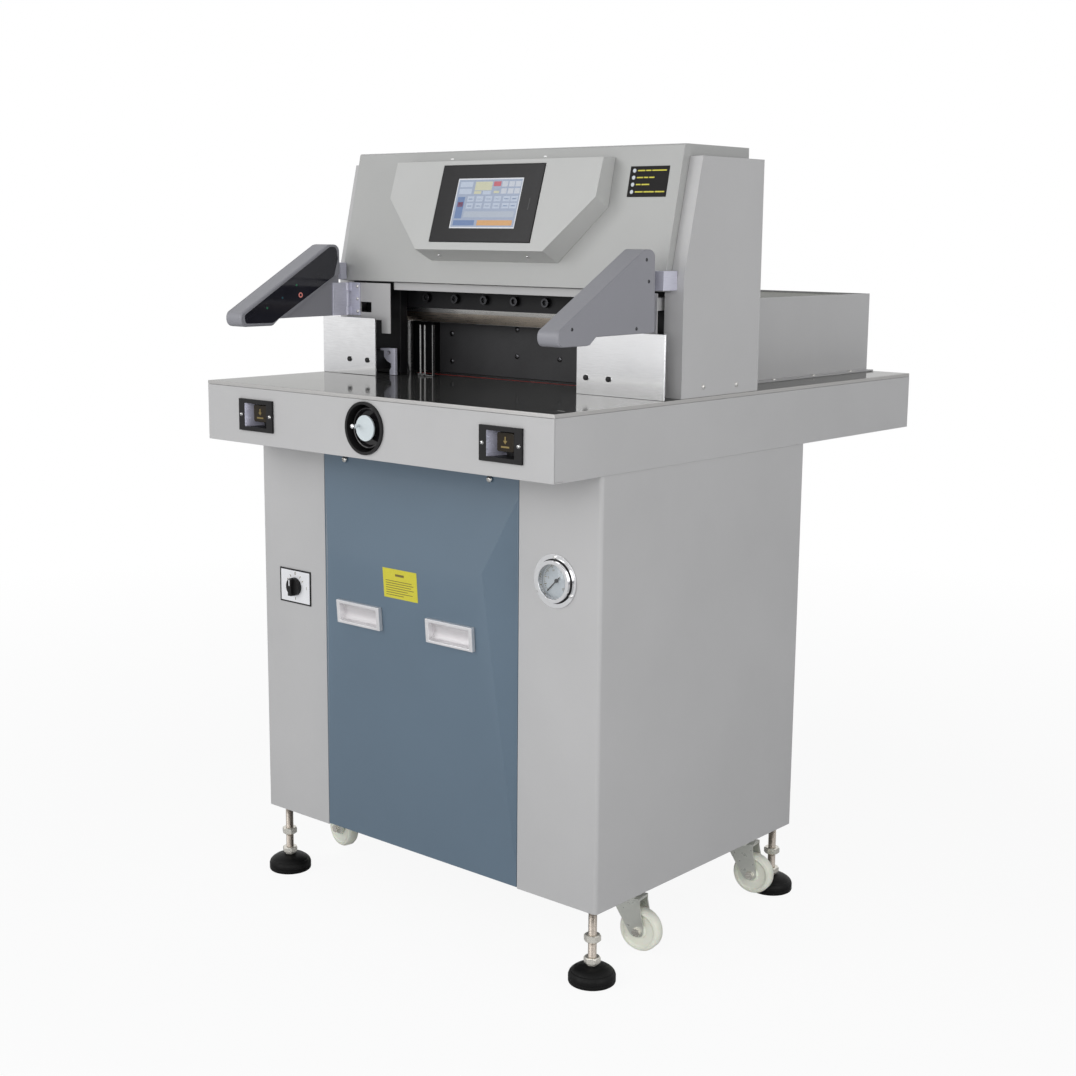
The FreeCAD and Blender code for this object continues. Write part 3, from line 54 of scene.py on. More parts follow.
camera.matrix_world = Matrix((
    (across.x, above.x, -ahead.x, 1.90472),
    (across.y, above.y, -ahead.y, -2.29403),
    (across.z, above.z, -ahead.z, 1.16246),
    (0, 0, 0, 1),
))
bpy.context.scene.camera = camera

# Cabinet sheets. Two bent steel sides with a rounded front corner each and a flat louvred rear panel, all
# powder coated a warm light grey with the fine peel of baked paint. Screws hold them to the inner frame.
MM = 0.001


def bare():
    """Leaves edit mode and selects nothing."""
    if bpy.context.object and bpy.context.object.mode != "OBJECT":
        bpy.ops.object.mode_set(mode="OBJECT")
    bpy.ops.object.select_all(action="DESELECT")


def pick(piece):
    """Makes one piece the selected and the active one."""
    bare()
    piece.select_set(True)
    bpy.context.view_layer.objects.active = piece
    return piece


def rounded(piece, width, segments=2, angle=30):
    """Breaks the sharp edges of a piece, width in millimetres."""
    pick(piece)
    bpy.ops.object.shade_smooth()
    easing = piece.modifiers.new("edges", "BEVEL")
    easing.width = width * MM
    easing.segments = segments
    easing.limit_method = "ANGLE"
    easing.angle_limit = math.radians(angle)
    easing.harden_normals = True
    bpy.ops.object.modifier_apply(modifier="edges")
    return piece


def eased(node, width, segments=2, angle=30):
    """A copy of a node's solid with clean faces and softly broken edges."""
    name = node + "_finished"
    piece = bpy.data.objects.new(name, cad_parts[node].data.copy())
    bpy.context.scene.collection.objects.link(piece)
    piece.data.name = name
    piece.data.materials.clear()
    pick(piece)
    bpy.ops.object.mode_set(mode="EDIT")
    bpy.ops.mesh.select_all(action="SELECT")
    bpy.ops.mesh.customdata_custom_splitnormals_clear()
    bpy.ops.mesh.remove_doubles(threshold=0.00001)
    bpy.ops.mesh.dissolve_limited(angle_limit=math.radians(0.5))
    bpy.ops.object.mode_set(mode="OBJECT")
    rounded(piece, width, segments, angle)
    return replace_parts(piece, node)


def fit(piece, body, finish):
    """Paints a piece and lets it ride on a body."""
    piece.data.materials.clear()
    piece.data.materials.append(finish)
    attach(piece, body)
    return piece


def dress(finish, *nodes):
    """Gives the frame's own nodes a finish."""
    for node in nodes:
        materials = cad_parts[node].data.materials
        materials.clear()
        materials.append(finish)


def finish_start(name):
    """A new finish, with its tree, its shader and the piece's own coordinates."""
    finish = bpy.data.materials.new(name)
    finish.use_nodes = True
    tree = finish.node_tree
    shader = tree.nodes["Principled BSDF"]
    return finish, tree, shader, tree.nodes.new("ShaderNodeTexCoord").outputs["Object"]


def feed(step, inputs):
    """Feeds a node's inputs with values or with other nodes' outputs."""
    for socket, source in inputs.items():
        if isinstance(source, bpy.types.NodeSocket):
            step.id_data.links.new(source, step.inputs[socket])
        else:
            step.inputs[socket].default_value = source


def wire(tree, kind, inputs=None, **settings):
    """Adds a node, sets it and feeds its inputs."""
    step = tree.nodes.new(kind)
    for name, value in settings.items():
        setattr(step, name, value)
    feed(step, inputs or {})
    return step


def mottle(tree, where, scale, detail=3.0, stretch=(1, 1, 1), roughness=0.55):
    """A noise over the piece, stretched along its axes; scale counts features per metre."""
    turned_in = wire(tree, "ShaderNodeMapping", {"Vector": where, "Scale": stretch})
    noise = wire(tree, "ShaderNodeTexNoise", {
        "Vector": turned_in.outputs[0], "Scale": scale, "Detail": detail, "Roughness": roughness})
    return noise.outputs["Fac"]


def spread(tree, source, low, high, start=0.3, end=0.7):
    """Maps a noise on a range."""
    return wire(tree, "ShaderNodeMapRange", {
        "Value": source, "From Min": start, "From Max": end, "To Min": low, "To Max": high}).outputs[0]


def between(tree, share, one, other):
    """A mix of two colours."""
    ends = [end if isinstance(end, bpy.types.NodeSocket) else (*end, 1) for end in (one, other)]
    return wire(tree, "ShaderNodeMix", {0: share, 6: ends[0], 7: ends[1]}, data_type="RGBA").outputs[2]


def shade_of(colour, factor):
    """The same colour, lighter or darker."""
    return tuple(min(1, c * factor) for c in colour[:3])


def relief(tree, shader, source, strength, depth):
    """A bump on the shader, depth in millimetres."""
    bump = wire(tree, "ShaderNodeBump", {"Height": source, "Strength": strength, "Distance": depth * MM})
    feed(shader, {"Normal": bump.outputs[0]})


def powder_coat(name, colour, gloss=0.42, peel=0.16, coat=0.12):
    """Baked paint on sheet steel: a fine peel, soft cloudy tone, and painted shade that darkens it low down.
    """
    finish, tree, shader, where = finish_start(name)
    cloud = mottle(tree, where, 5.0, 4.0)
    grain = mottle(tree, where, 260.0, 2.0)
    fine = mottle(tree, where, 1500.0, 1.0)
    tone = between(tree, spread(tree, cloud, 0, 1), shade_of(colour, 0.965), shade_of(colour, 1.03))
    tone = between(tree, spread(tree, fine, 0, 0.35), tone, shade_of(colour, 0.90))
    # Painted shade: the paint turns darker towards the bottom of the sheet, below about 0.45 m.
    height = wire(tree, "ShaderNodeSeparateXYZ", {"Vector": where}).outputs["Z"]
    low_shade = spread(tree, height, 0.16, 0.0, 0.12, 0.45)
    tone = between(tree, low_shade, tone, shade_of(colour, 0.80))
    feed(shader, {"Base Color": tone, "Roughness": spread(tree, grain, gloss - 0.05, gloss + 0.06),
                  "Coat Weight": coat, "Coat Roughness": 0.28})
    relief(tree, shader, grain, peel, 0.12)
    return finish


casing_paint = powder_coat("casing_powder_coat", (0.500, 0.496, 0.496))
primer = powder_coat("frame_primer", (0.20, 0.21, 0.22), gloss=0.6, coat=0.0)
for node in ("cabinet_side_left", "cabinet_side_right"):
    fit(eased(node, 0.6), "machine", casing_paint)
dress(primer, "base_plate", "cabinet_frame")
dress(casing_paint, "rear_panel")

# Louvres. Pressed sheet-steel hoods over the rear panel's slots, open below, in two columns of eight; they
# are one with the panel and share its paint.


def chain(name, points):
    """A line of edges through points in metres, drawn vertex by vertex in edit mode."""
    bare()
    bpy.ops.mesh.primitive_plane_add(size=1)
    piece = bpy.context.object
    piece.name = name
    piece.data.name = name
    bpy.ops.object.mode_set(mode="EDIT")
    bpy.ops.mesh.merge(type="CENTER")
    bpy.ops.transform.translate(value=points[0])
    for here, there in zip(points, points[1:]):
        bpy.ops.mesh.extrude_vertices_move(TRANSFORM_OT_translate={"value": Vector(there) - Vector(here)})
    return piece


def plate(name, points, axis, start, end, edge=0.4, segments=2):
    """A flat piece cut to an outline in millimetres, with its thickness along x, y or z."""
    order = {"x": (2, 0, 1), "y": (0, 2, 1), "z": (0, 1, 2)}[axis]
    triples = [(a * MM, b * MM, start * MM) for a, b in points]
    piece = chain(name, [tuple(triple[i] for i in order) for triple in triples])
    bpy.ops.mesh.select_all(action="SELECT")
    bpy.ops.mesh.edge_face_add()
    along = Vector([(end - start) * MM if letter == axis else 0 for letter in "xyz"])
    bpy.ops.mesh.extrude_region_move(TRANSFORM_OT_translate={"value": along})
    bpy.ops.mesh.select_all(action="SELECT")
    bpy.ops.mesh.normals_make_consistent(inside=False)
    bpy.ops.object.mode_set(mode="OBJECT")
    return rounded(piece, edge, segments) if edge else piece


def settle(piece, name=None):
    """Puts the piece's place into its mesh."""
    pick(piece)
    if name:
        piece.name = name
        piece.data.name = name
    bpy.ops.object.transform_apply(location=True, rotation=True, scale=True)
    return piece


def joined(name, *pieces):
    """Several pieces in one mesh."""
    pick(pieces[0])
    for piece in pieces[1:]:
        piece.select_set(True)
    if len(pieces) > 1:
        bpy.ops.object.join()
    pieces[0].name = name
    pieces[0].data.name = name
    return pieces[0]


def copied(piece, shift, name=None):
    """A copy of a piece with its own mesh, moved by a shift in millimetres."""
    pick(piece)
    bpy.ops.object.duplicate(linked=False)
    copy = bpy.context.object
    copy.location = Vector(shift) * MM
    return settle(copy, name)


def repeated(piece, shifts, name=None):
    """Copies of a piece at shifts in millimetres, joined in its place."""
    copies = [copied(piece, shift) for shift in shifts]
    old_name = piece.name
    bpy.data.objects.remove(piece)
    return joined(name or old_name, *copies)


hood_outline = ((167.5, -4), (167.5, 9), (169, 9), (174, 2), (175, -4), (173.8, -4), (172.8, 1.4), (168.5, 7))
louvre = plate("louvre_hoods", hood_outline, "x", -84, 84, 0.3)
columns = [(x, 0, 300 + 26 * step) for x in (-200, 200) for step in range(8)]
fit(repeated(louvre, columns), "machine", casing_paint)

# Screws. Pan heads with a cross recess, zinc plated; they hold the door, the casings, the console and the
# plates. One head is turned and recessed, and copied to each place.
TO_FRONT = (0, -1, 0)
TO_TOP = (0, 0, 1)


def block(name, x, y, z, edge=0.5, segments=2):
    """A block between pairs of planes in millimetres, with its edges broken."""
    bare()
    centre = [(a + b) * MM / 2 for a, b in (x, y, z)]
    bpy.ops.mesh.primitive_cube_add(size=1, location=centre)
    piece = bpy.context.object
    piece.scale = [abs(b - a) * MM for a, b in (x, y, z)]
    settle(piece, name)
    return rounded(piece, edge, segments) if edge else piece


def facing(along):
    """The turn that points the Z axis along a direction."""
    return Vector(TO_TOP).rotation_difference(Vector(along)).to_matrix().to_4x4()


def turned(name, outline, at=(0, 0, 0), along=TO_TOP, steps=48, edge=0.3):
    """A piece turned on a lathe from half an outline of radii and heights in millimetres."""
    piece = chain(name, [(r * MM, 0, h * MM) for r, h in outline])
    if outline[0][0] > 0 or outline[-1][0] > 0:
        bpy.ops.mesh.select_all(action="DESELECT")
        lines = bmesh.from_edit_mesh(piece.data)
        lines.verts.ensure_lookup_table()
        for end in (0, -1):
            lines.verts[end].select_set(True)
        bmesh.update_edit_mesh(piece.data)
        bpy.ops.mesh.edge_face_add()
    bpy.ops.mesh.select_all(action="SELECT")
    bpy.ops.mesh.spin(steps=steps, angle=math.tau, center=(0, 0, 0), axis=TO_TOP)
    bpy.ops.mesh.select_all(action="SELECT")
    bpy.ops.mesh.remove_doubles(threshold=0.000002)
    bpy.ops.mesh.normals_make_consistent(inside=False)
    bpy.ops.object.mode_set(mode="OBJECT")
    piece.matrix_world = Matrix.Translation(Vector(at) * MM) @ facing(along)
    settle(piece)
    return rounded(piece, edge, 2, 35) if edge else piece


def carve(piece, tool):
    """Cuts a tool's shape out of a piece."""
    pick(piece)
    cutter = piece.modifiers.new("cut", "BOOLEAN")
    cutter.operation = "DIFFERENCE"
    cutter.solver = "EXACT"
    cutter.object = tool
    bpy.ops.object.modifier_apply(modifier="cut")
    bpy.data.objects.remove(tool)
    return piece


def brushed(name, colour, roughness=0.3, stretch=(1, 1, 1), scale=60.0, lines=0.05, metallic=1.0):
    """Bare or plated metal with lines from grinding; the stretch is large across the lines."""
    finish, tree, shader, where = finish_start(name)
    streak = mottle(tree, where, scale, 3.0, stretch)
    cloud = mottle(tree, where, 9.0, 3.0)
    tone = between(tree, spread(tree, cloud, 0, 1), shade_of(colour, 0.93), shade_of(colour, 1.05))
    tone = between(tree, spread(tree, streak, 0, 0.5), tone, shade_of(colour, 0.82))
    feed(shader, {"Base Color": tone, "Metallic": metallic,
                  "Roughness": spread(tree, streak, roughness * 0.75, roughness * 1.3)})
    relief(tree, shader, streak, 0.25, lines)
    return finish


def smoothed(piece, angle):
    """Smooth shading up to an angle in degrees."""
    pick(piece)
    bpy.ops.object.shade_smooth_by_angle(angle=math.radians(angle))
    return piece


def cross_screw(name, radius, height, places, along=TO_FRONT):
    """Pan-head screws at places in millimetres, standing out along one direction."""
    head = turned(name, ((0, height), (radius * 0.45, height * 0.95), (radius * 0.82, height * 0.66),
                         (radius, height * 0.2), (radius, 0), (0, 0)), steps=20, edge=0)
    for wide, deep in ((0.55, 0.12), (0.12, 0.55)):
        slot = block("driver", (-wide * radius, wide * radius), (-deep * radius, deep * radius),
                     (height * 0.45, height + 1), 0)
        carve(head, slot)
    head.matrix_world = facing(along)
    settle(head)
    return smoothed(repeated(head, places, name), 35)


zinc = brushed("zinc_plating", (0.66, 0.65, 0.62), 0.30, (1, 1, 6), 300.0, 0.02)

# Front door. One steel sheet folded to a crest across its middle and painted blue-grey. Two screws hold it at
# its top and it lifts off; two cast pulls with a finger cup are let into its face.


def second(piece, finish, chosen):
    """A second finish on the faces whose middle, in millimetres, is chosen."""
    piece.data.materials.append(finish)
    for face in piece.data.polygons:
        if chosen(face.center / MM):
            face.material_index = 1
    return piece


door_paint = powder_coat("door_powder_coat", (0.107, 0.160, 0.215), gloss=0.36, peel=0.2, coat=0.2)
pull_metal = brushed("pull_satin_chrome", (0.84, 0.83, 0.84), 0.20, (1, 30, 30), 60.0, 0.006, 0.6)
cup_metal = brushed("pull_cup_satin", (0.62, 0.60, 0.61), 0.38, (1, 30, 30), 60.0, 0.006, 0.3)
fit(eased("front_door", 0.5), "door", door_paint)
pulls = fit(eased("door_pulls", 0.9, 3), "door", pull_metal)
second(pulls, cup_metal, lambda spot: (
    abs(abs(spot.x) - 105) < 44.5 and abs(spot.z - 531) < 17 and spot.y > -415))
fit(cross_screw("door_screws", 5.4, 3.4, [(x, -390.4, 784.5) for x in (-168, 163)]),
    "door", zinc)

# Door plate. A thin yellow sheet stuck on the door's face above the pulls and left without words; faint ruled
# lines and a bolder heading bar stand for its print.


def tint(tree, shader, source, dark, light, gloss=None):
    """Colours a shader by a noise, from a dark tone to a light one, and spreads its roughness with it."""
    feed(shader, {"Base Color": between(tree, spread(tree, source, 0, 1), dark, light)})
    if gloss:
        feed(shader, {"Roughness": spread(tree, source, *gloss)})


def oblong(left, right, low, high):
    """The four corners of an oblong; on the lathe, half the outline of a disc or a ring."""
    return (left, low), (right, low), (right, high), (left, high)


def placed(piece, at, angle, axis, name=None):
    """Turns a piece round one axis and moves it to a place in millimetres."""
    piece.matrix_world = Matrix.Translation(Vector(at) * MM) @ Matrix.Rotation(angle, 4, axis)
    return settle(piece, name)


yellow, tree, shader, where = finish_start("yellow_sheet")
fibre = mottle(tree, where, 700.0, 2.0)
tint(tree, shader, fibre, (0.58, 0.52, 0.03), (0.66, 0.60, 0.045), (0.38, 0.48))
relief(tree, shader, fibre, 0.1, 0.03)
ink, tree, shader, where = finish_start("print_ink")
speck = mottle(tree, where, 2500.0, 1.0)
tint(tree, shader, speck, (0.10, 0.08, 0.02), (0.22, 0.17, 0.04))
feed(shader, {"Roughness": 0.6})
door_lean = math.atan2(36, 475)


def on_door(piece):
    """Leans a piece drawn upright at y = 0 and z = 0 on to the door's main face, at the crest."""
    return placed(piece, (0, -423.5, 640), door_lean, "X")


sheet_face = plate("door_plate", oblong(-45, 33, -69, -19), "y", -0.45, 0.05, 0)
rounded(sheet_face, 0.12, 1)
fit(on_door(sheet_face), "door", yellow)
rules = [block("rule", (-39, -39 + wide), (-0.6, -0.4), (z, z + 1.1), 0)
         for z, wide in ((-40, 60), (-44, 64), (-48, 58), (-52, 64), (-56, 50), (-60, 61), (-64, 40))]
rules.append(block("rule", (-16, 4), (-0.6, -0.4), (-31, -27), 0))
fit(on_door(joined("door_plate_rules", *rules)), "door", ink)

# Table. A cast iron plate, ground and polished like a mirror, with a brushed edge painted lighter as a
# highlight along its rim, and slots for the cutting stick, the clamp's rods and the back gauge. The red
# plastic stick is let in flush under the knife.
polish, tree, shader, where = finish_start("polished_table")
steps = wire(tree, "ShaderNodeSeparateXYZ", {"Vector": where})
side_way = wire(tree, "ShaderNodeMath", {0: steps.outputs["X"]}, operation="ABSOLUTE").outputs[0]
# Painted highlight: the brushed strip along the rim is rougher and also coloured far lighter than the mirror
# face.
brushed_rim_highlight_x = spread(tree, side_way, 0, 1, 0.3855, 0.3870)
brushed_rim_highlight_y = spread(tree, steps.outputs["Y"], 1, 0, -0.4990, -0.4965)
edge = wire(tree, "ShaderNodeMath", {0: brushed_rim_highlight_x, 1: brushed_rim_highlight_y}, operation="MAXIMUM").outputs[0]
lines = mottle(tree, where, 90.0, 3.0, (1, 40, 40))
smear = mottle(tree, where, 7.0, 5.0, (1, 2.5, 1))
dark_face = between(tree, spread(tree, smear, 0, 1), (0.170, 0.168, 0.165), (0.205, 0.203, 0.198))
mirror = spread(tree, smear, 0.045, 0.10)
worn = spread(tree, lines, 0.26, 0.42)
soft = wire(tree, "ShaderNodeMix", {0: edge, 2: mirror, 3: worn}, data_type="FLOAT").outputs[0]
feed(shader, {"Base Color": between(tree, edge, dark_face, (0.52, 0.51, 0.50)), "Roughness": soft,
              "Metallic": 0.6, "Specular IOR Level": 0.4, "Specular Tint": (0.35, 0.35, 0.33, 1)})
relief(tree, shader, lines, 0.04, 0.01)
fit(eased("table_top", 0.7), "machine", polish)
stick_red, tree, shader, where = finish_start("cutting_stick_plastic")
nicks = mottle(tree, where, 120.0, 3.0, (0.3, 3, 3))
tint(tree, shader, nicks, (0.30, 0.014, 0.013), (0.44, 0.030, 0.024), (0.3, 0.45))
relief(tree, shader, nicks, 0.3, 0.1)
dress(stick_red, "cutting_stick")

# Apron and skirts. Four bent sheets under the table's rim in the casing's paint; the apron has openings for
# the two buttons and the handwheel.
for node in ("front_apron", "table_skirts"):
    fit(eased(node, 0.6), "machine", casing_paint)

# Apron fittings. Moulded black cups: the handwheel's round bezel and the two button housings, each housing
# with a glossy wall that slants in on its left, its pale lilac colour a painted reflection, and two bright
# screws.


def moulded(name, colour, roughness=0.4, grain=900.0, depth=0.05, variation=0.2, shine=0.5):
    """Moulded plastic with a fine grain."""
    finish, tree, shader, where = finish_start(name)
    fine = mottle(tree, where, grain, 2.0)
    cloud = mottle(tree, where, 14.0, 3.0)
    tint(tree, shader, cloud, shade_of(colour, 1 - variation / 2), shade_of(colour, 1 + variation))
    feed(shader, {"Roughness": spread(tree, fine, roughness * 0.85, roughness * 1.2),
                  "Specular IOR Level": shine})
    relief(tree, shader, fine, 0.25, depth)
    return finish


black_grain = moulded("black_moulding", (0.012, 0.0115, 0.012), 0.42, shine=0.2)
recess_reflection = brushed("recess_wall_reflection", (0.58, 0.58, 0.70), 0.25, (1, 1, 3), 40.0, 0.004, 0.3)
fittings = fit(eased("apron_fittings", 0.8, 3), "machine", black_grain)
axis_z = 860
# Painted reflection: the slanting walls of the black housings are coloured pale lilac.
second(fittings, recess_reflection, lambda spot: (
    abs(spot.z - axis_z) < 6 and (abs(spot.x + 281.2) < 3 or abs(spot.x - 267.3) < 3)))
bright_screw = brushed("bright_screw", (0.86, 0.86, 0.86), 0.22, (1, 1, 6), 300.0, 0.01)
fit(cross_screw("housing_screws", 3.4, 1.9, [
    (x + d, -505, axis_z) for x in (-260, 288.5) for d in (-36, 36)]), "machine", bright_screw)

# Cut buttons. Square dark keys with rounded corners and a slightly raised gilt sign, a bar over an arrow,
# on a square stem that a spring pushes out.
key_brown = moulded("key_brown", (0.026, 0.020, 0.013), 0.16, 500.0, 0.006, shine=0.3)
gilt, tree, shader, where = finish_start("gilt_mark")
flake = mottle(tree, where, 1800.0, 2.0)
tint(tree, shader, flake, (0.20, 0.145, 0.055), (0.31, 0.235, 0.09), (0.3, 0.45))
feed(shader, {"Metallic": 0.6})
for side, x in (("left", -256.8), ("right", 291.7)):
    body = "button_" + side
    fit(eased("cut_button_" + side, 1.0, 3), body, key_brown)
    raised = (-497.25, -496.9)
    arrow = plate("sign", ((x - 1.2, 871), (x + 1.2, 871), (x + 1.2, 865), (x + 4, 865), (x, 860),
                           (x - 4, 865), (x - 1.2, 865)), "y", *raised, 0)
    bar = block("sign", (x - 8, x + 8), raised, (854.5, 857), 0)
    fit(joined("cut_sign_" + side, arrow, bar), body, gilt)

# Handwheel. A dished glossy black wheel inside the bezel, with a thin pale cap on its hub and a small chromed
# crank knob near the cap's middle; it turns with the lead screw.
black_gloss = moulded("black_gloss", (0.010, 0.009, 0.010), 0.08, 300.0, 0.004, shine=0.35)
wheel_at = (0, -486, axis_z)
dish_line = ((0, -3), (30, -3), (32.5, -1), (33, 2), (33, 9), (31.5, 9.6), (30, 9), (27, 3), (23, 2.2),
             (14, 2), (14, 12.2), (0, 12.2))
dish = smoothed(turned("handwheel_dish", dish_line, wheel_at, TO_FRONT, 64, 0), 40)
hub = turned("handwheel_hub", oblong(0, 6, -12, -1), wheel_at, TO_FRONT, 32)
wheel = joined("handwheel_dish", dish, hub)
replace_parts(fit(wheel, "gauge_screw", black_gloss), "handwheel")
pale_cap = moulded("pale_cap", (0.62, 0.68, 0.70), 0.30, 700.0, 0.01, 0.06)
cap = turned("handwheel_cap", oblong(0, 20.5, 12.5, 15.5), wheel_at, TO_FRONT, 64, 0.5)
fit(cap, "gauge_screw", pale_cap)
crank_line = ((0, 0), (2.5, 0), (2.5, 8.6), (3.4, 9.8), (3.9, 11.6), (3.9, 16.6), (3.2, 18.2), (2, 18.9),
              (0, 19))
crank = smoothed(turned("crank_knob", crank_line, (-12.3, -499.5, 863.2), TO_FRONT, 32, 0), 50)
chrome = brushed("bright_chrome", (0.80, 0.80, 0.81), 0.10, (1, 1, 4), 200.0, 0.004)
fit(crank, "gauge_screw", chrome)

# Mains switch. A white plastic plate in a thin black frame with tick marks, a black round knob with a grip
# bar and a white pointer, and the switch's body behind the sheet.
white_plastic = moulded("white_plate", (0.80, 0.80, 0.82), 0.3, 600.0, 0.01, 0.05)
fit(eased("switch_plate", 0.4), "machine", white_plastic)
fit(eased("switch_knob", 0.3), "mains_knob", black_grain)
rim = plate("switch_frame", oblong(-341, -261, 515.5, 576.5), "y", -389.5, -387.6, 0)
carve(rim, block("inside", (-338.6, -263.4), (-395, -380), (518, 574), 0))
fit(rounded(rim, 0.2, 1), "machine", black_grain)
marks = []
for angle in (-60, -35, 35, 60, 180):
    tick = block("tick", (-0.6, 0.6), (-0.15, 0.15), (19.5, 24), 0)
    marks.append(placed(tick, (-301, -389.05, 546), math.radians(angle), "Y"))


def figures(name, word, size, x, y, z):
    """Figures as thin raised print that faces the operator, centred at a place in millimetres."""
    bare()
    bpy.ops.object.text_add()
    text = bpy.context.object
    text.data.body = word
    text.data.size = size * MM
    text.data.align_x = "CENTER"
    text.data.align_y = "CENTER"
    text.data.extrude = 0.00008
    text.data.resolution_u = 3
    bpy.ops.object.convert(target="MESH")
    return placed(bpy.context.object, (x, y, z), math.pi / 2, "X", name)


marks.append(figures("mark", "0", 8, -301, -389.1, 569))
marks.append(figures("mark", "1", 8, -272, -389.1, 546))
fit(joined("switch_marks", *marks), "machine", ink)
pointer = block("knob_pointer", (-302.2, -299.8), (-403.9, -403.2), (549, 560.5), 0.3)
fit(pointer, "mains_knob", white_plastic)

# Pressure gauge. A chromed flange and bezel with three screws round a white dial with ticks and figures,
# under a clear lens; the needle is black.
fit(eased("pressure_gauge", 0.9, 3), "machine", chrome)
dial_white = moulded("dial_enamel", (0.58, 0.62, 0.66), 0.4, 400.0, 0.004, 0.04)
dial_x, dial_z = 298, 641
dial = turned("gauge_dial", oblong(1.6, 26.8, 0, 0.6), (dial_x, -383.6, dial_z), TO_FRONT, 64, 0)
fit(dial, "machine", dial_white)
# Painted shade: two thin black rings stand for the shade in the gaps between dial, bezel and flange.
shade_rings = [turned("shade_ring", oblong(inner, outer, 0, 0.5), (dial_x, y, dial_z), TO_FRONT, 64, 0)
           for inner, outer, y in ((33.2, 35.0, -389.8), (27.0, 28.0, -393.6))]
fit(joined("gauge_shade_rings", *shade_rings), "machine", black_grain)
scale_start, scale_sweep, print_y = 225, 270, -384.25
strokes = []
for step in range(41):
    angle = math.radians(scale_start - scale_sweep * step / 40)
    inner, half = (22.0, 0.3) if step % 4 else (20.0, 0.5)
    stroke = block("stroke", (inner, 24.6), (-0.06, 0.06), (-half, half), 0)
    strokes.append(placed(stroke, (dial_x, print_y, dial_z), -angle, "Y"))
for number in range(6):
    angle = math.radians(scale_start - scale_sweep / 5 * number)
    strokes.append(figures("stroke", str(number * 5), 4.4, dial_x + 16.2 * math.cos(angle), print_y,
                           dial_z + 16.2 * math.sin(angle)))
fit(joined("gauge_scale", *strokes), "machine", ink)
needle_paint = moulded("needle_black", (0.015, 0.015, 0.016), 0.4, 600.0, 0.01)
dress(needle_paint, "gauge_needle")
lens, tree, shader, where = finish_start("clear_lens")
smudge = mottle(tree, where, 30.0, 4.0)
feed(shader, {"Base Color": (0.97, 0.98, 0.98, 1), "Roughness": spread(tree, smudge, 0.0, 0.035),
              "Transmission Weight": 1.0, "IOR": 1.46})
glass_line = ((0, 0), (26.8, 0), (26.8, 0.8), (24.6, 1.4), (0, 2.0))
glass = turned("gauge_lens", glass_line, (dial_x, -394.2, dial_z), TO_FRONT, 64, 0)
fit(smoothed(glass, 30), "machine", lens)
fit(cross_screw("gauge_screws", 3.0, 2.4, [
    (dial_x + 37.5 * math.cos(math.radians(a)), -390.2, dial_z + 37.5 * math.sin(math.radians(a)))
    for a in (90, 210, 330)]), "machine", zinc)

# Upper frame. Two black cast side frames with a guide slot each, a crossbeam between them, the knife carrier
# that slides in the slots, and the clamp behind it.
casting = moulded("black_casting", (0.011, 0.011, 0.012), 0.40, 240.0, 0.12, shine=0.2)
gauge_paint = moulded("back_gauge_paint", (0.034, 0.034, 0.036), 0.45, 240.0, 0.08, shine=0.3)
dress(casting, "knife_carrier")
dress(gauge_paint, "back_gauge")
for node in ("side_frames", "crossbeam"):
    fit(eased(node, 1.5), "machine", casting)

# Knife. Ground tool steel with a polished bevel, held by seven socket screws; its piston rod is hard chromed.
# The clamp is a ground cast beam pulled down by two steel rods.
blade_steel, tree, shader, where = finish_start("ground_blade")
height = wire(tree, "ShaderNodeSeparateXYZ", {"Vector": where}).outputs["Z"]
grind = mottle(tree, where, 90.0, 3.0, (0.3, 30, 30))
bevel = between(tree, spread(tree, grind, 0, 1), (0.66, 0.58, 0.50), (0.76, 0.67, 0.58))
steel = between(tree, spread(tree, height, 0, 1, 1.0212, 1.0222), bevel, (0.74, 0.73, 0.72))
# Painted highlight: a thin lighter line along the blade's lower edge.
steel = between(tree, spread(tree, height, 1, 0, 1.0044, 1.0049), steel, (0.82, 0.81, 0.80))
feed(shader, {"Base Color": steel, "Roughness": spread(tree, grind, 0.24, 0.34), "Metallic": 1.0})
relief(tree, shader, grind, 0.15, 0.004)
ground_cast = brushed("ground_casting", (0.30, 0.285, 0.27), 0.34, (0.4, 24, 24), 90.0, 0.012)
steel_rod = brushed("turned_steel", (0.60, 0.60, 0.60), 0.2, (1, 1, 8), 200.0, 0.006)
fit(eased("knife_blade", 0.2, 1), "knife", blade_steel)
dark_bolt = brushed("black_oxide_bolts", (0.07, 0.07, 0.075), 0.28, (1, 1, 4), 300.0, 0.02)
fit(eased("knife_bolts", 0.8, 3), "knife", dark_bolt)
fit(eased("clamp_beam", 0.8), "clamp", ground_cast)
dark_steel = brushed("dark_steel", (0.20, 0.20, 0.20), 0.3, (1, 1, 8), 200.0, 0.006)
dress(steel_rod, "knife_rod", "lead_screw")
dress(dark_steel, "clamp_rods")

# Back gauge screws. Blackened steel heads in the dark face plate, two by two; they hold the plate to the ribs
# behind it.
fit(cross_screw("back_gauge_screws", 4.6, 1.5, [
    (x, -88, z) for x, pair in ((-207, (982, 932)), (-49, (996, 949)), (49, (996, 949)), (207, (982, 932)))
    for z in pair]), "gauge", dark_bolt)

# Works in the cabinet. Painted hydraulic unit and cylinders, plated pipes, the sheet-steel control box, the
# gauge's black drive case, and zinc-plated castor plates.
pump_paint = powder_coat("hydraulic_paint", (0.06, 0.10, 0.15), gloss=0.3, peel=0.25, coat=0.3)
box_paint = powder_coat("control_box_paint", (0.56, 0.56, 0.53), gloss=0.45)
dress(pump_paint, "hydraulic_unit", "hydraulic_cylinders")
dress(zinc, "hydraulic_pipes", "castor_plates")
dress(box_paint, "electrical_box")
dress(black_grain, "gauge_drive")

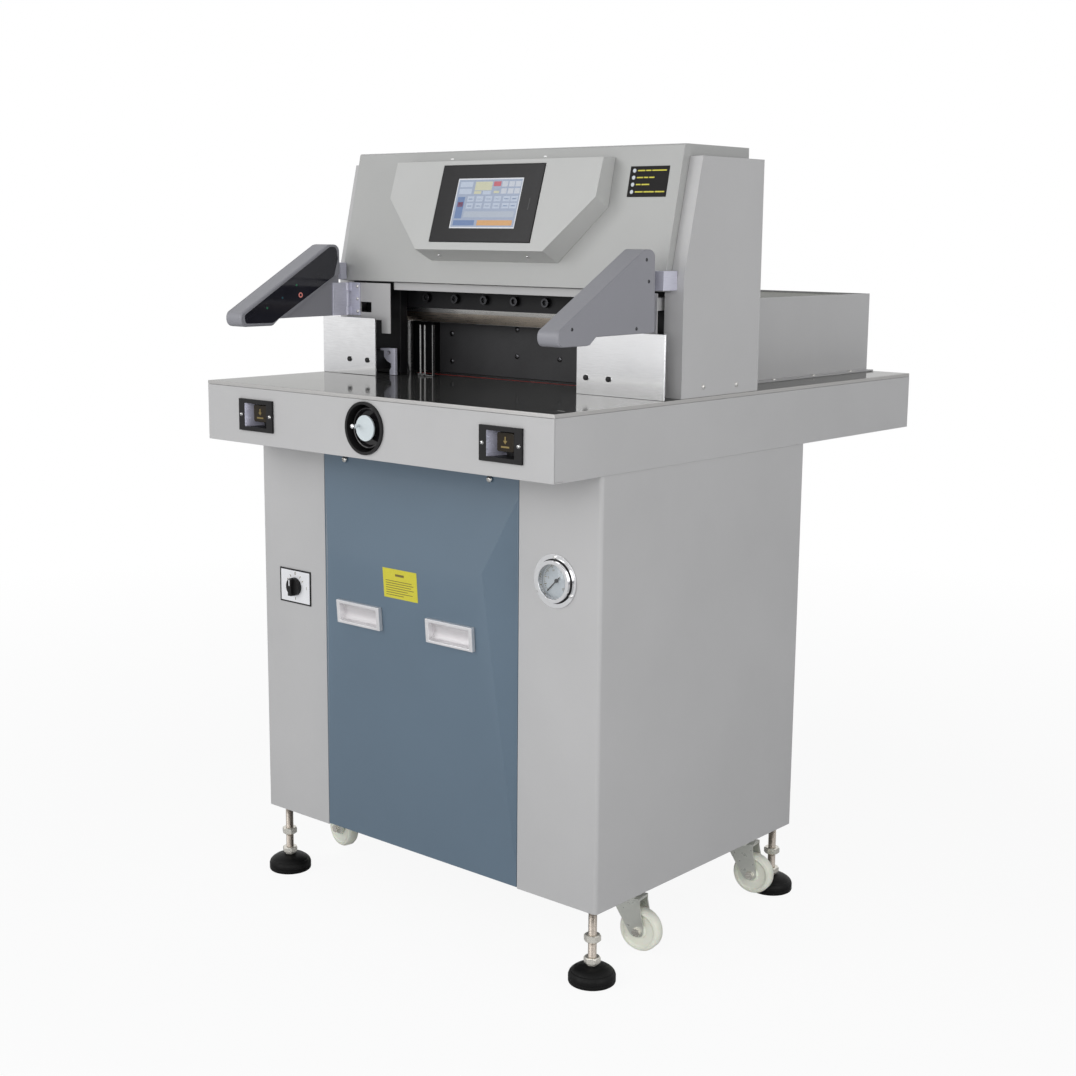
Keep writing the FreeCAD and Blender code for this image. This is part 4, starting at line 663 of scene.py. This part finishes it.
# Hood. One folded sheet with a leaning front and a flat cap, powder coated a light neutral grey; it is
# screwed to the side frames, and a strip closes it at the back.
hood_paint = powder_coat("hood_powder_coat", (0.430, 0.432, 0.422), gloss=0.40, peel=0.14, coat=0.15)
fit(eased("hood", 0.6), "machine", hood_paint)
rear_edge = block("hood_rear_edge", (-359.2, 359.2), (7.0, 9.2), (1281.6, 1298.8), 0.4)
fit(rear_edge, "machine", hood_paint)

# Console. A faceted sheet housing welded up and screwed on the hood, its face leaning back a little more than
# the hood; a touch panel with a black glass front is let into it.
console_paint = powder_coat("console_powder_coat", (0.525, 0.527, 0.515), gloss=0.40, peel=0.14, coat=0.15)
fit(eased("console_housing", 0.6, 2, 12), "machine", console_paint)
panel_black = moulded("panel_glass_black", (0.012, 0.0115, 0.0125), 0.2, 200.0, 0.002, shine=0.2)
fit(eased("touch_screen", 0.5), "machine", panel_black)

# Screen picture. A lit liquid-crystal picture under the glass: plain keys, fields and figures, no words. Each
# patch is a thin tile with its own colour, and a fine dot grid in the colour.
hood_lean = math.atan2(49.1, 223.3)
face_lean = hood_lean + math.radians(4.9)
hood_y, hood_z = -214.4, 1076.7


def on_hood(x, s, out):
    """A place on the hood's leaning front: across, up the slope and out from it, in millimetres."""
    return (x, hood_y + s * math.sin(hood_lean) - out * math.cos(hood_lean),
            hood_z + s * math.cos(hood_lean) + out * math.sin(hood_lean))


def on_panel(piece):
    """Moves a piece drawn flat, x to the right and y up, from the panel's centre on to the console's face."""
    return placed(piece, on_hood(0, 129, 36.3), math.pi / 2 - face_lean, "X")


def lit(name, colour, glow=0.3):
    """A lit patch of the picture."""
    finish, tree, shader, where = finish_start(name)
    dots = mottle(tree, where, 1400.0, 1.0)
    tone = between(tree, spread(tree, dots, 0, 1), shade_of(colour, 0.51), shade_of(colour, 0.68))
    feed(shader, {"Base Color": tone, "Emission Color": tone, "Emission Strength": glow, "Roughness": 0.25})
    return finish


def tiles(name, finish, patches, height=0.42):
    """Thin tiles of the picture: left, right, bottom, top of each, in millimetres from the panel's centre."""
    flat = [block("tile", (a, b), (c, d), (0.2, height), 0) for a, b, c, d in patches]
    return fit(on_panel(joined(name, *flat)), "machine", finish)


key_rows, key_columns = (3, -9), (-44, -24, -4, 16, 36, 53)
tiles("picture_frame", lit("picture_white", (0.86, 0.88, 0.92), 0.35), [(-73, 73, -43, 43)], 0.30)
tiles("picture_ground", lit("picture_lilac", (0.40, 0.47, 0.62)), [(-70.6, 70.6, -40.6, 40.6)], 0.36)
tiles("picture_cream", lit("picture_cream", (0.70, 0.70, 0.50)), [
    (-32, 6, 22, 37), (-32, -16, 16, 21), (12, 24, 17, 21)])
tiles("picture_pale", lit("picture_pale", (0.58, 0.66, 0.80)), [
    (-66, -38, 28, 37), (-66, -38, 16, 25), (-12, 6, 15, 21)] + [
    (x, x + 15, z, z + 9) for z in key_rows for x in key_columns])
tiles("picture_key", lit("picture_keys", (0.66, 0.70, 0.78)), [
    (x, x + 12, z, z + 9) for z in (16, 28) for x in (28, 43, 57)])
tiles("picture_orange", lit("picture_orange", (0.78, 0.42, 0.16)), [(-12, 66, -38, -29)])
tiles("picture_blue", lit("picture_blue", (0.16, 0.26, 0.50), 0.25), [
    (-66, -18, -38, -29), (-66, -50, -26, 11)] + [
    (x + 3, x + 12, z + 3.5, z + 5) for z in key_rows for x in key_columns])
tiles("picture_red", lit("picture_red", (0.62, 0.12, 0.16)), [(9, 25, 29, 37), (-64, -52, -6, 2)])
tiles("picture_rows", lit("picture_grey", (0.50, 0.56, 0.66)), [(-46, 66, -24, -14)])
slot_mark = block("panel_slot", (94, 96), (-12, 8), (0.4, 1.15), 0.2)
fit(on_panel(slot_mark), "machine", needle_paint)
seal = plate("panel_seal", oblong(-113, 113, -66.2, 66.2), "z", 0.95, 1.2, 0)
carve(seal, block("inside", (-111.6, 111.6), (-64.8, 64.8), (0, 3), 0))
fit(on_panel(seal), "machine", black_grain)

# Console screws. Bright pan heads close to the housing's edges, two in its lower bevel and two on top; they
# hold the console to the hood.
for name, radius, height, places, along in (
    ("console_screws_low", 3.6, 2.0, [on_hood(x, 44.0, 22) for x in (-104, 96)], (0, -0.30, -0.954)),
    ("console_screws_top", 3.2, 1.6, [on_hood(x, 208.6, 20) for x in (-108, 100)], (0, -0.05, 0.998)),
):
    fit(cross_screw(name, radius, height, places, along), "machine", bright_screw)

# Dark plate on the hood. A thin black plastic sheet stuck on beside the console and left without words; four
# white dots and four yellow bars in rows stand for its print.
plate_black = moulded("plate_black", (0.007, 0.006, 0.006), 0.40, 500.0, 0.006, shine=0.12)


def on_hood_plane(piece):
    """Leans a piece drawn flat, x across and y up the slope, on to the hood's front."""
    return placed(piece, (0, hood_y, hood_z), math.pi / 2 - hood_lean, "X")


dark_plate = plate("hood_plate", oblong(263, 339, 146, 194.5), "z", 0.02, 0.5, 0)
fit(on_hood_plane(rounded(dark_plate, 0.15, 1)), "machine", plate_black)
dots = [turned("dot", oblong(0, 3.2, 0.4, 0.62), (271.5, s, 0), steps=24, edge=0)
        for s in (187.5, 176.5, 165.5, 154)]
fit(on_hood_plane(joined("hood_plate_dots", *dots)), "machine", dial_white)
bars = [block("bar", (278 + start, 278 + start + long), (s - 1.0, s + 1.0), (0.4, 0.62), 0)
        for s, runs in ((187.5, ((0, 14), (16, 10), (28, 28))), (176.5, ((0, 12), (14, 8), (24, 10))),
                        (165.5, ((0, 9), (11, 15))), (154, ((0, 15), (17, 20), (39, 18))))
        for start, long in runs]
fit(on_hood_plane(joined("hood_plate_bars", *bars)), "machine", yellow)

# Casings and covers. Bent sheets around the uprights, the back cover with the gauge's passage, and the throat
# covers under the hood, all in the casing's paint and screwed on.
for node in ("side_casing_left", "side_casing_right", "back_cover", "throat_covers"):
    fit(eased(node, 0.6), "machine", casing_paint)
casing_screws = []
for side in (-1, 1):
    casing_screws.append(cross_screw("casing_screws", 4.3, 2.2, [
        (side * 386, y, z) for y, z in ((-137, 927), (-45, 925))], (side, 0, 0)))
fit(joined("casing_screws", *casing_screws), "machine", zinc)

# Guard plates. Bright polished stainless plates in front of the uprights, each on a block behind it, with two
# dark countersunk screws.
bright_sheet = brushed("polished_sheet", (0.86, 0.86, 0.87), 0.16, (1, 1, 24), 70.0, 0.004)
guards = fit(eased("guard_plates", 0.5), "machine", bright_sheet)
second(guards, casting, lambda spot: spot.y < -237.1 or spot.y > -233.9 and 920 < spot.z < 956)
guard_holes = [(x, -237, 938) for x in (-317.6, -271.8, 229.7, 275.3)]
fit(cross_screw("guard_screws", 3.9, 2.9, guard_holes), "machine", needle_paint)
rings = [turned("ring", oblong(4.6, 5.6, 0, 0.4), hole, TO_FRONT, 32, 0) for hole in guard_holes]
fit(joined("guard_screw_rings", *rings), "machine", bright_screw)

# Small metal parts left of the throat. An aluminium gusset beside the guard plate, and two steel guide rods
# on a foot beside an angle that stops the sheets; both stand on the table just in front of the knife.
aluminium = brushed("machined_aluminium", (0.66, 0.66, 0.76), 0.42, (1, 1, 8), 60.0, 0.008, 0.35)
gusset_line = ((-250, 911.4), (-236, 911.4), (-236, 959), (-273, 958), (-272, 950), (-256.5, 935.5),
               (-246.5, 931.5), (-246, 925), (-250, 919))
gusset = plate("throat_bracket", gusset_line, "y", -204, -198, 0.5)
carve(gusset, turned("hole", oblong(0, 4.2, -9, 9), (-251.8, -201, 950.5), (0, 1, 0), 24, 0))
fit(gusset, "machine", aluminium)
guides = [turned("guide_rod", oblong(0, 1.9, 0, 86), (x, -174, 915), steps=20, edge=0)
          for x in (-201.5, -190.5)]
guides.append(block("guide_foot", (-206, -186), (-177, -171), (911.3, 915.5), 0.4))
fit(joined("guide_rods", *guides), "machine", dark_steel)
stop = plate("sheet_stop", ((-193, 911.4), (-168.5, 911.4), (-168.5, 1002), (-170.5, 1002), (-170.5, 913.4),
                            (-193, 913.4)), "y", -177, -171, 0.4)
fit(stop, "machine", dark_steel)

# Rear guard. Three sheet walls with a stiff rim and a foot flange, painted like the casing and screwed down.
# Its lid is a satin smoked sheet that lifts on a pin along the back cover; its dark olive tone is painted
# shade.
fit(eased("rear_guard", 0.5), "machine", casing_paint)
# Painted shade: the lid is tinted dark olive, the tone of the box's shaded inside.
smoked_shade = moulded("smoked_lid_shade", (0.060, 0.063, 0.042), 0.40, 500.0, 0.01, 0.1, 0.15)
fit(eased("rear_lid", 0.5), "lid", smoked_shade)
fit(cross_screw("flange_screws", 4.0, 2.0, [
    (side * 305.5, y, 913.8) for side in (-1, 1) for y in (60, 190, 320, 450)], TO_TOP),
    "machine", zinc)

# Light curtain arms. Thick cast housings in grey paint, rounded all over, with a recessed web inside; a
# glossy black window with four lamps is set into the inner face, and screws hold the outer cover.
arm_paint = powder_coat("arm_paint", (0.262, 0.262, 0.288), gloss=0.42, peel=0.18, coat=0.08)


def softened(points, steps=5):
    """An outline whose corners are arcs; each point has its place and its corner radius."""
    result = []
    count = len(points)
    for i, (px, py, radius) in enumerate(points):
        here = Vector((px, py))
        before = Vector(points[i - 1][:2]) - here
        after = Vector(points[(i + 1) % count][:2]) - here
        if not radius:
            result.append((px, py))
            continue
        half = before.angle(after) / 2
        reach = radius / math.tan(half)
        middle = here + (before.normalized() + after.normalized()).normalized() * radius / math.sin(half)
        first = here + before.normalized() * reach - middle
        last = here + after.normalized() * reach - middle
        sweep = first.angle_signed(last)
        for k in range(steps + 1):
            turn = Matrix.Rotation(-sweep * k / steps, 2)
            spot = middle + turn @ first
            result.append((spot.x, spot.y))
    return result


def evened(piece):
    """Smooth shading that leaves the flat faces flat."""
    pick(piece)
    bpy.ops.mesh.customdata_custom_splitnormals_clear()
    smoothed(piece, 35)
    weigh = piece.modifiers.new("even", "WEIGHTED_NORMAL")
    weigh.keep_sharp = True
    bpy.ops.object.modifier_apply(modifier="even")
    return piece


arm_line = softened(((-245, 1015, 3), (-387, 1014, 0), (-403, 1002, 0), (-474, 1002, 12),
                     (-474, 1023.8, 11.5), (-273, 1140, 10), (-247, 1140, 12)))
window_line = softened(((-255, 1136, 8), (-271, 1135.5, 4), (-466, 1021.5, 6), (-463, 1007.5, 5),
                        (-403, 1007, 6), (-260.5, 1084.6, 6), (-251, 1114, 6)))
arm_in, arm_out = 330, 370
cover_places = ((-269.4, 1124.8), (-263, 1092.5), (-291.5, 1022.8), (-442.7, 1027.3))
lamp_line, ring_line = ((0, 0), (2.1, 0), (2.1, 0.25), (0, 0.5)), oblong(2.6, 4.6, 0, 0.3)
web_line = ((-382, 1010), (-240, 1010), (-240, 1090), (-261, 1084))
window_black = moulded("window_black", (0.018, 0.018, 0.025), 0.07, 60.0, 0.01, shine=0.6)
lamp_finishes = {}
for lamp, colour, glow in (("green", (0.05, 0.22, 0.12), 0.15), ("blue", (0.04, 0.12, 0.16), 0.1),
                           ("red", (0.85, 0.30, 0.26), 0.4)):
    lamp_finishes[lamp] = lit("lamp_" + lamp, colour, glow)
for side, sign in (("left", -1), ("right", 1)):
    body = "curtain_arm_" + side
    housing = plate("arm_housing_" + side, arm_line, "x", sign * arm_in, sign * arm_out, 3.2, 4)
    carve(housing, plate("web", web_line, "x", sign * 329, sign * 335, 0))
    carve(housing, plate("window", window_line, "x", sign * 329, sign * 331.5, 0))
    evened(housing)
    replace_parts(fit(housing, body, arm_paint), "arm_" + side)
    inset = [(y + (0.4 if y < -300 else -0.4), z) for y, z in window_line]
    pane = plate("arm_window_" + side, inset, "x", sign * 331.6, sign * 330.5, 0.25)
    fit(pane, body, window_black)
    for lamp, places in (("green", ((-415.3, 1032.7), (-348.5, 1070.4))), ("blue", ((-380.8, 1049.2),)),
                         ("red", ((-339.6, 1053.1),))):
        shape = ring_line if lamp == "red" else lamp_line
        lights = [turned("lamp", shape, (sign * 330.5, y, z), (-sign, 0, 0), 24, 0) for y, z in places]
        fit(joined("lamp_%s_%s" % (lamp, side), *lights), body, lamp_finishes[lamp])
    fit(cross_screw("arm_screws_" + side, 3.0, 1.2, [(sign * arm_out, y, z) for y, z in cover_places],
                    (sign, 0, 0)), body, dark_bolt)
    seam = plate("arm_seam_" + side, [(y * 0.985 - 5.4, z * 0.985 + 16.1) for y, z in arm_line], "x",
                 sign * 369.4, sign * 370.4, 0.2, 1)
    fit(seam, body, arm_paint)

# Arm hinges. Machined aluminium leaves: the fixed one with two barrels and the pin is screwed to the throat
# cover, the moving one with the middle barrel is let into the arm. Two brackets stiffen the hood's corners.
fit(eased("arm_hinge_leaves", 0.5), "machine", aluminium)
leaf_line = ((-262, 1015), (-231.8, 1015), (-231.8, 1030.2), (-229.5, 1030.2), (-229.5, 1057.8),
             (-231.8, 1057.8), (-231.8, 1073), (-262, 1073))
for side, sign in (("left", -1), ("right", 1)):
    barrel = turned("hinge_barrel", oblong(2.6, 5, 0, 27.6), (sign * 336, -226, 1030.2),
                    steps=32)
    leaf = plate("hinge_leaf", leaf_line, "x", sign * 331.6, sign * 335.2, 0.5)
    fit(joined("hinge_leaf_" + side, barrel, leaf), "curtain_arm_" + side, aluminium)
fit(cross_screw("leaf_screws", 3.0, 1.6, [
    (sign * 318.5, -216, z) for sign in (-1, 1) for z in (1022, 1044, 1066)]), "machine", zinc)

# Levelling feet. A ribbed black pad with a dome, a threaded zinc-plated stem that screws through the floor
# plate, a hexagon to turn it by and two lock nuts.
pad_black = moulded("pad_black", (0.006, 0.006, 0.006), 0.45, 260.0, 0.15, shine=0.12)
stem_zinc = brushed("stem_zinc", (0.50, 0.45, 0.40), 0.30, (1, 1, 4), 200.0, 0.01)
nut_zinc = brushed("nut_zinc", (0.80, 0.77, 0.70), 0.25, (1, 1, 3), 120.0, 0.008, 0.7)


def nut(name, across, low, high):
    """A hexagon nut with chamfered corners, on the Z axis."""
    bare()
    bpy.ops.mesh.primitive_cylinder_add(vertices=6, radius=across / math.sqrt(3) * MM,
                                        depth=(high - low) * MM, location=(0, 0, (low + high) / 2 * MM))
    piece = settle(bpy.context.object, name)
    near, far = across * 0.47, across * 0.6
    ring = ((near, low - 1), (across, low - 1), (across, high + 1), (near, high + 1), (near, high),
            (far, high - 2.4), (far, low + 2.4), (near, low))
    carve(piece, turned("chamfer", ring, steps=32, edge=0))
    return rounded(piece, 0.4)


thread = [(0, 28), (6.5, 28)]
for turn in range(70):
    thread += [(7.0, 29 + 2 * turn), (6.3, 30 + 2 * turn)]
thread += [(6.3, 169), (5.8, 170), (0, 170)]
stem = turned("foot_stem", thread, steps=20, edge=0)
foot_nuts = joined("foot_nuts", nut("nut", 24, 32, 42.5), nut("nut", 24, 68, 79.5), nut("nut", 17, 27, 33))
foot_pad = turned("foot_pad", ((0, 0), (36, 0), (37.4, 1), (38, 3), (38, 6), (37, 6.8), (38, 7.6), (38, 12.5),
                               (36.6, 16.5), (34.6, 19.2), (33.2, 19.6), (32.6, 21), (27, 24.8), (18, 27.6),
                               (12, 28.6), (11.4, 29), (0, 29)), steps=72, edge=0.4)
for corner, x, y in (("front_left", -360, -362), ("front_right", 360, -362), ("rear_left", -360, 151),
                     ("rear_right", 360, 151)):
    body = "foot_%s_body" % corner
    for part, finish in ((stem, stem_zinc), (foot_nuts, nut_zinc), (foot_pad, pad_black)):
        copy = copied(part, (x, y, 0), part.name + "_" + corner)
        fit(copy, body, finish)
        if part == foot_pad:
            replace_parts(copy, "foot_" + corner)
for part in (stem, foot_nuts, foot_pad):
    bpy.data.objects.remove(part)

# Castors. Pressed zinc-plated forks on a ball race under a bolted plate, and white nylon wheels with rounded
# treads; the wheels hang clear of the floor while the feet are down.
nylon, tree, shader, where = finish_start("cast_nylon")
wax = mottle(tree, where, 24.0, 4.0)
grit = mottle(tree, where, 700.0, 2.0)
milk = between(tree, spread(tree, wax, 0, 1), (0.86, 0.87, 0.75), (0.93, 0.94, 0.84))
gritty = between(tree, spread(tree, grit, 0, 0.25, 0.55, 0.75), milk, (0.74, 0.73, 0.60))
feed(shader, {"Base Color": gritty, "Roughness": spread(tree, grit, 0.3, 0.45),
              "Subsurface Weight": 0.08, "Subsurface Scale": 0.004})
relief(tree, shader, grit, 0.2, 0.08)
fork_zinc = brushed("fork_zinc", (0.66, 0.67, 0.62), 0.34, (1, 1, 1), 90.0, 0.004, 0.6)
races = []
for corner, x, y in (("front_left", -330, -234.7), ("front_right", 330, -234.7), ("rear_left", -330, 94.3),
                     ("rear_right", 330, 94.3)):
    fork = fit(eased("castor_fork_" + corner, 0.3, 1), "castor_" + corner, fork_zinc)
    swivel = math.radians(10 if x > 0 else 170)
    hub = Vector((x + 27 * math.cos(swivel), y + 27 * math.sin(swivel), 45))
    axle = Vector((-math.sin(swivel), math.cos(swivel), 0))
    second(fork, nut_zinc, lambda spot: (spot - hub).length < 26 and abs((spot - hub).dot(axle)) > 17.5)
    fit(eased("castor_wheel_" + corner, 0.9, 3), "wheel_" + corner, nylon)
    races.append(turned("race", ((24.4, 101.6), (26.5, 102.4), (28.2, 105), (28.8, 108.6), (28.8, 112.8),
                                 (24.4, 112.8)), (x, y, 0), steps=40))
fit(joined("swivel_races", *races), "machine", chrome)

# Studio. A pale floor that keeps the machine's shadow and fades to white, a white surround, and four soft
# lamps: a broad low one in front, a higher one on its left, one near the viewpoint and one on the right.
floor, tree, shader, where = finish_start("studio_floor")
tree.nodes.remove(shader)
distance = wire(tree, "ShaderNodeVectorMath", {0: where}, operation="LENGTH").outputs["Value"]
far_off = spread(tree, distance, 0.92, 1.0, 1.0, 3.2)
seen = wire(tree, "ShaderNodeLightPath").outputs["Is Camera Ray"]
share = wire(tree, "ShaderNodeMath", {0: far_off, 1: seen}, operation="MULTIPLY").outputs[0]
matt = wire(tree, "ShaderNodeBsdfDiffuse", {"Color": (0.88, 0.88, 0.88, 1)})
white = wire(tree, "ShaderNodeEmission", {"Color": (1, 1, 1, 1), "Strength": 1.0})
mixed = wire(tree, "ShaderNodeMixShader", {0: share, 1: matt.outputs[0], 2: white.outputs[0]})
feed(tree.nodes["Material Output"], {"Surface": mixed.outputs[0]})
bare()
bpy.ops.mesh.primitive_circle_add(vertices=96, radius=12, fill_type="NGON", location=(0, 0, -0.0005))
ground = settle(bpy.context.object, "studio_floor")
ground.data.materials.append(floor)

bpy.context.scene.view_settings.view_transform = "Standard"
world = bpy.data.worlds.new("studio")
bpy.context.scene.world = world
world.use_nodes = True
tree = world.node_tree
tree.nodes.clear()
path = wire(tree, "ShaderNodeLightPath")
direct = path.outputs["Is Camera Ray"]
for other in ("Is Transmission Ray", "Is Glossy Ray"):
    direct = wire(tree, "ShaderNodeMath", {0: direct, 1: path.outputs[other]}, operation="MAXIMUM").outputs[0]
soft_light = wire(tree, "ShaderNodeBackground", {"Color": (0.95, 0.97, 1.0, 1), "Strength": 0.33})
white_light = wire(tree, "ShaderNodeBackground", {"Color": (1, 1, 1, 1), "Strength": 1.0})
sky = wire(tree, "ShaderNodeMixShader", {0: direct, 1: soft_light.outputs[0], 2: white_light.outputs[0]})
wire(tree, "ShaderNodeOutputWorld", {"Surface": sky.outputs[0]})
for name, place, aim, size, power in (
    ("key_lamp", (-0.9, -4.6, 1.3), (0, -0.2, 0.7), 2.6, 47),
    ("upper_lamp", (-2.0, -3.4, 2.6), (0, -0.2, 0.8), 2.2, 28),
    ("near_lamp", (1.9, -3.4, 1.7), (0, -0.2, 0.8), 2.0, 30),
    ("side_lamp", (3.8, -0.6, 1.4), (0, 0, 0.7), 2.0, 34),
):
    bare()
    bpy.ops.object.light_add(type="AREA", location=place)
    lamp = bpy.context.object
    lamp.name = name
    lamp.data.size = size
    lamp.data.energy = power
    lamp.rotation_euler = (Vector(aim) - Vector(place)).to_track_quat("-Z", "Y").to_euler()

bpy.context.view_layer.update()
bare()
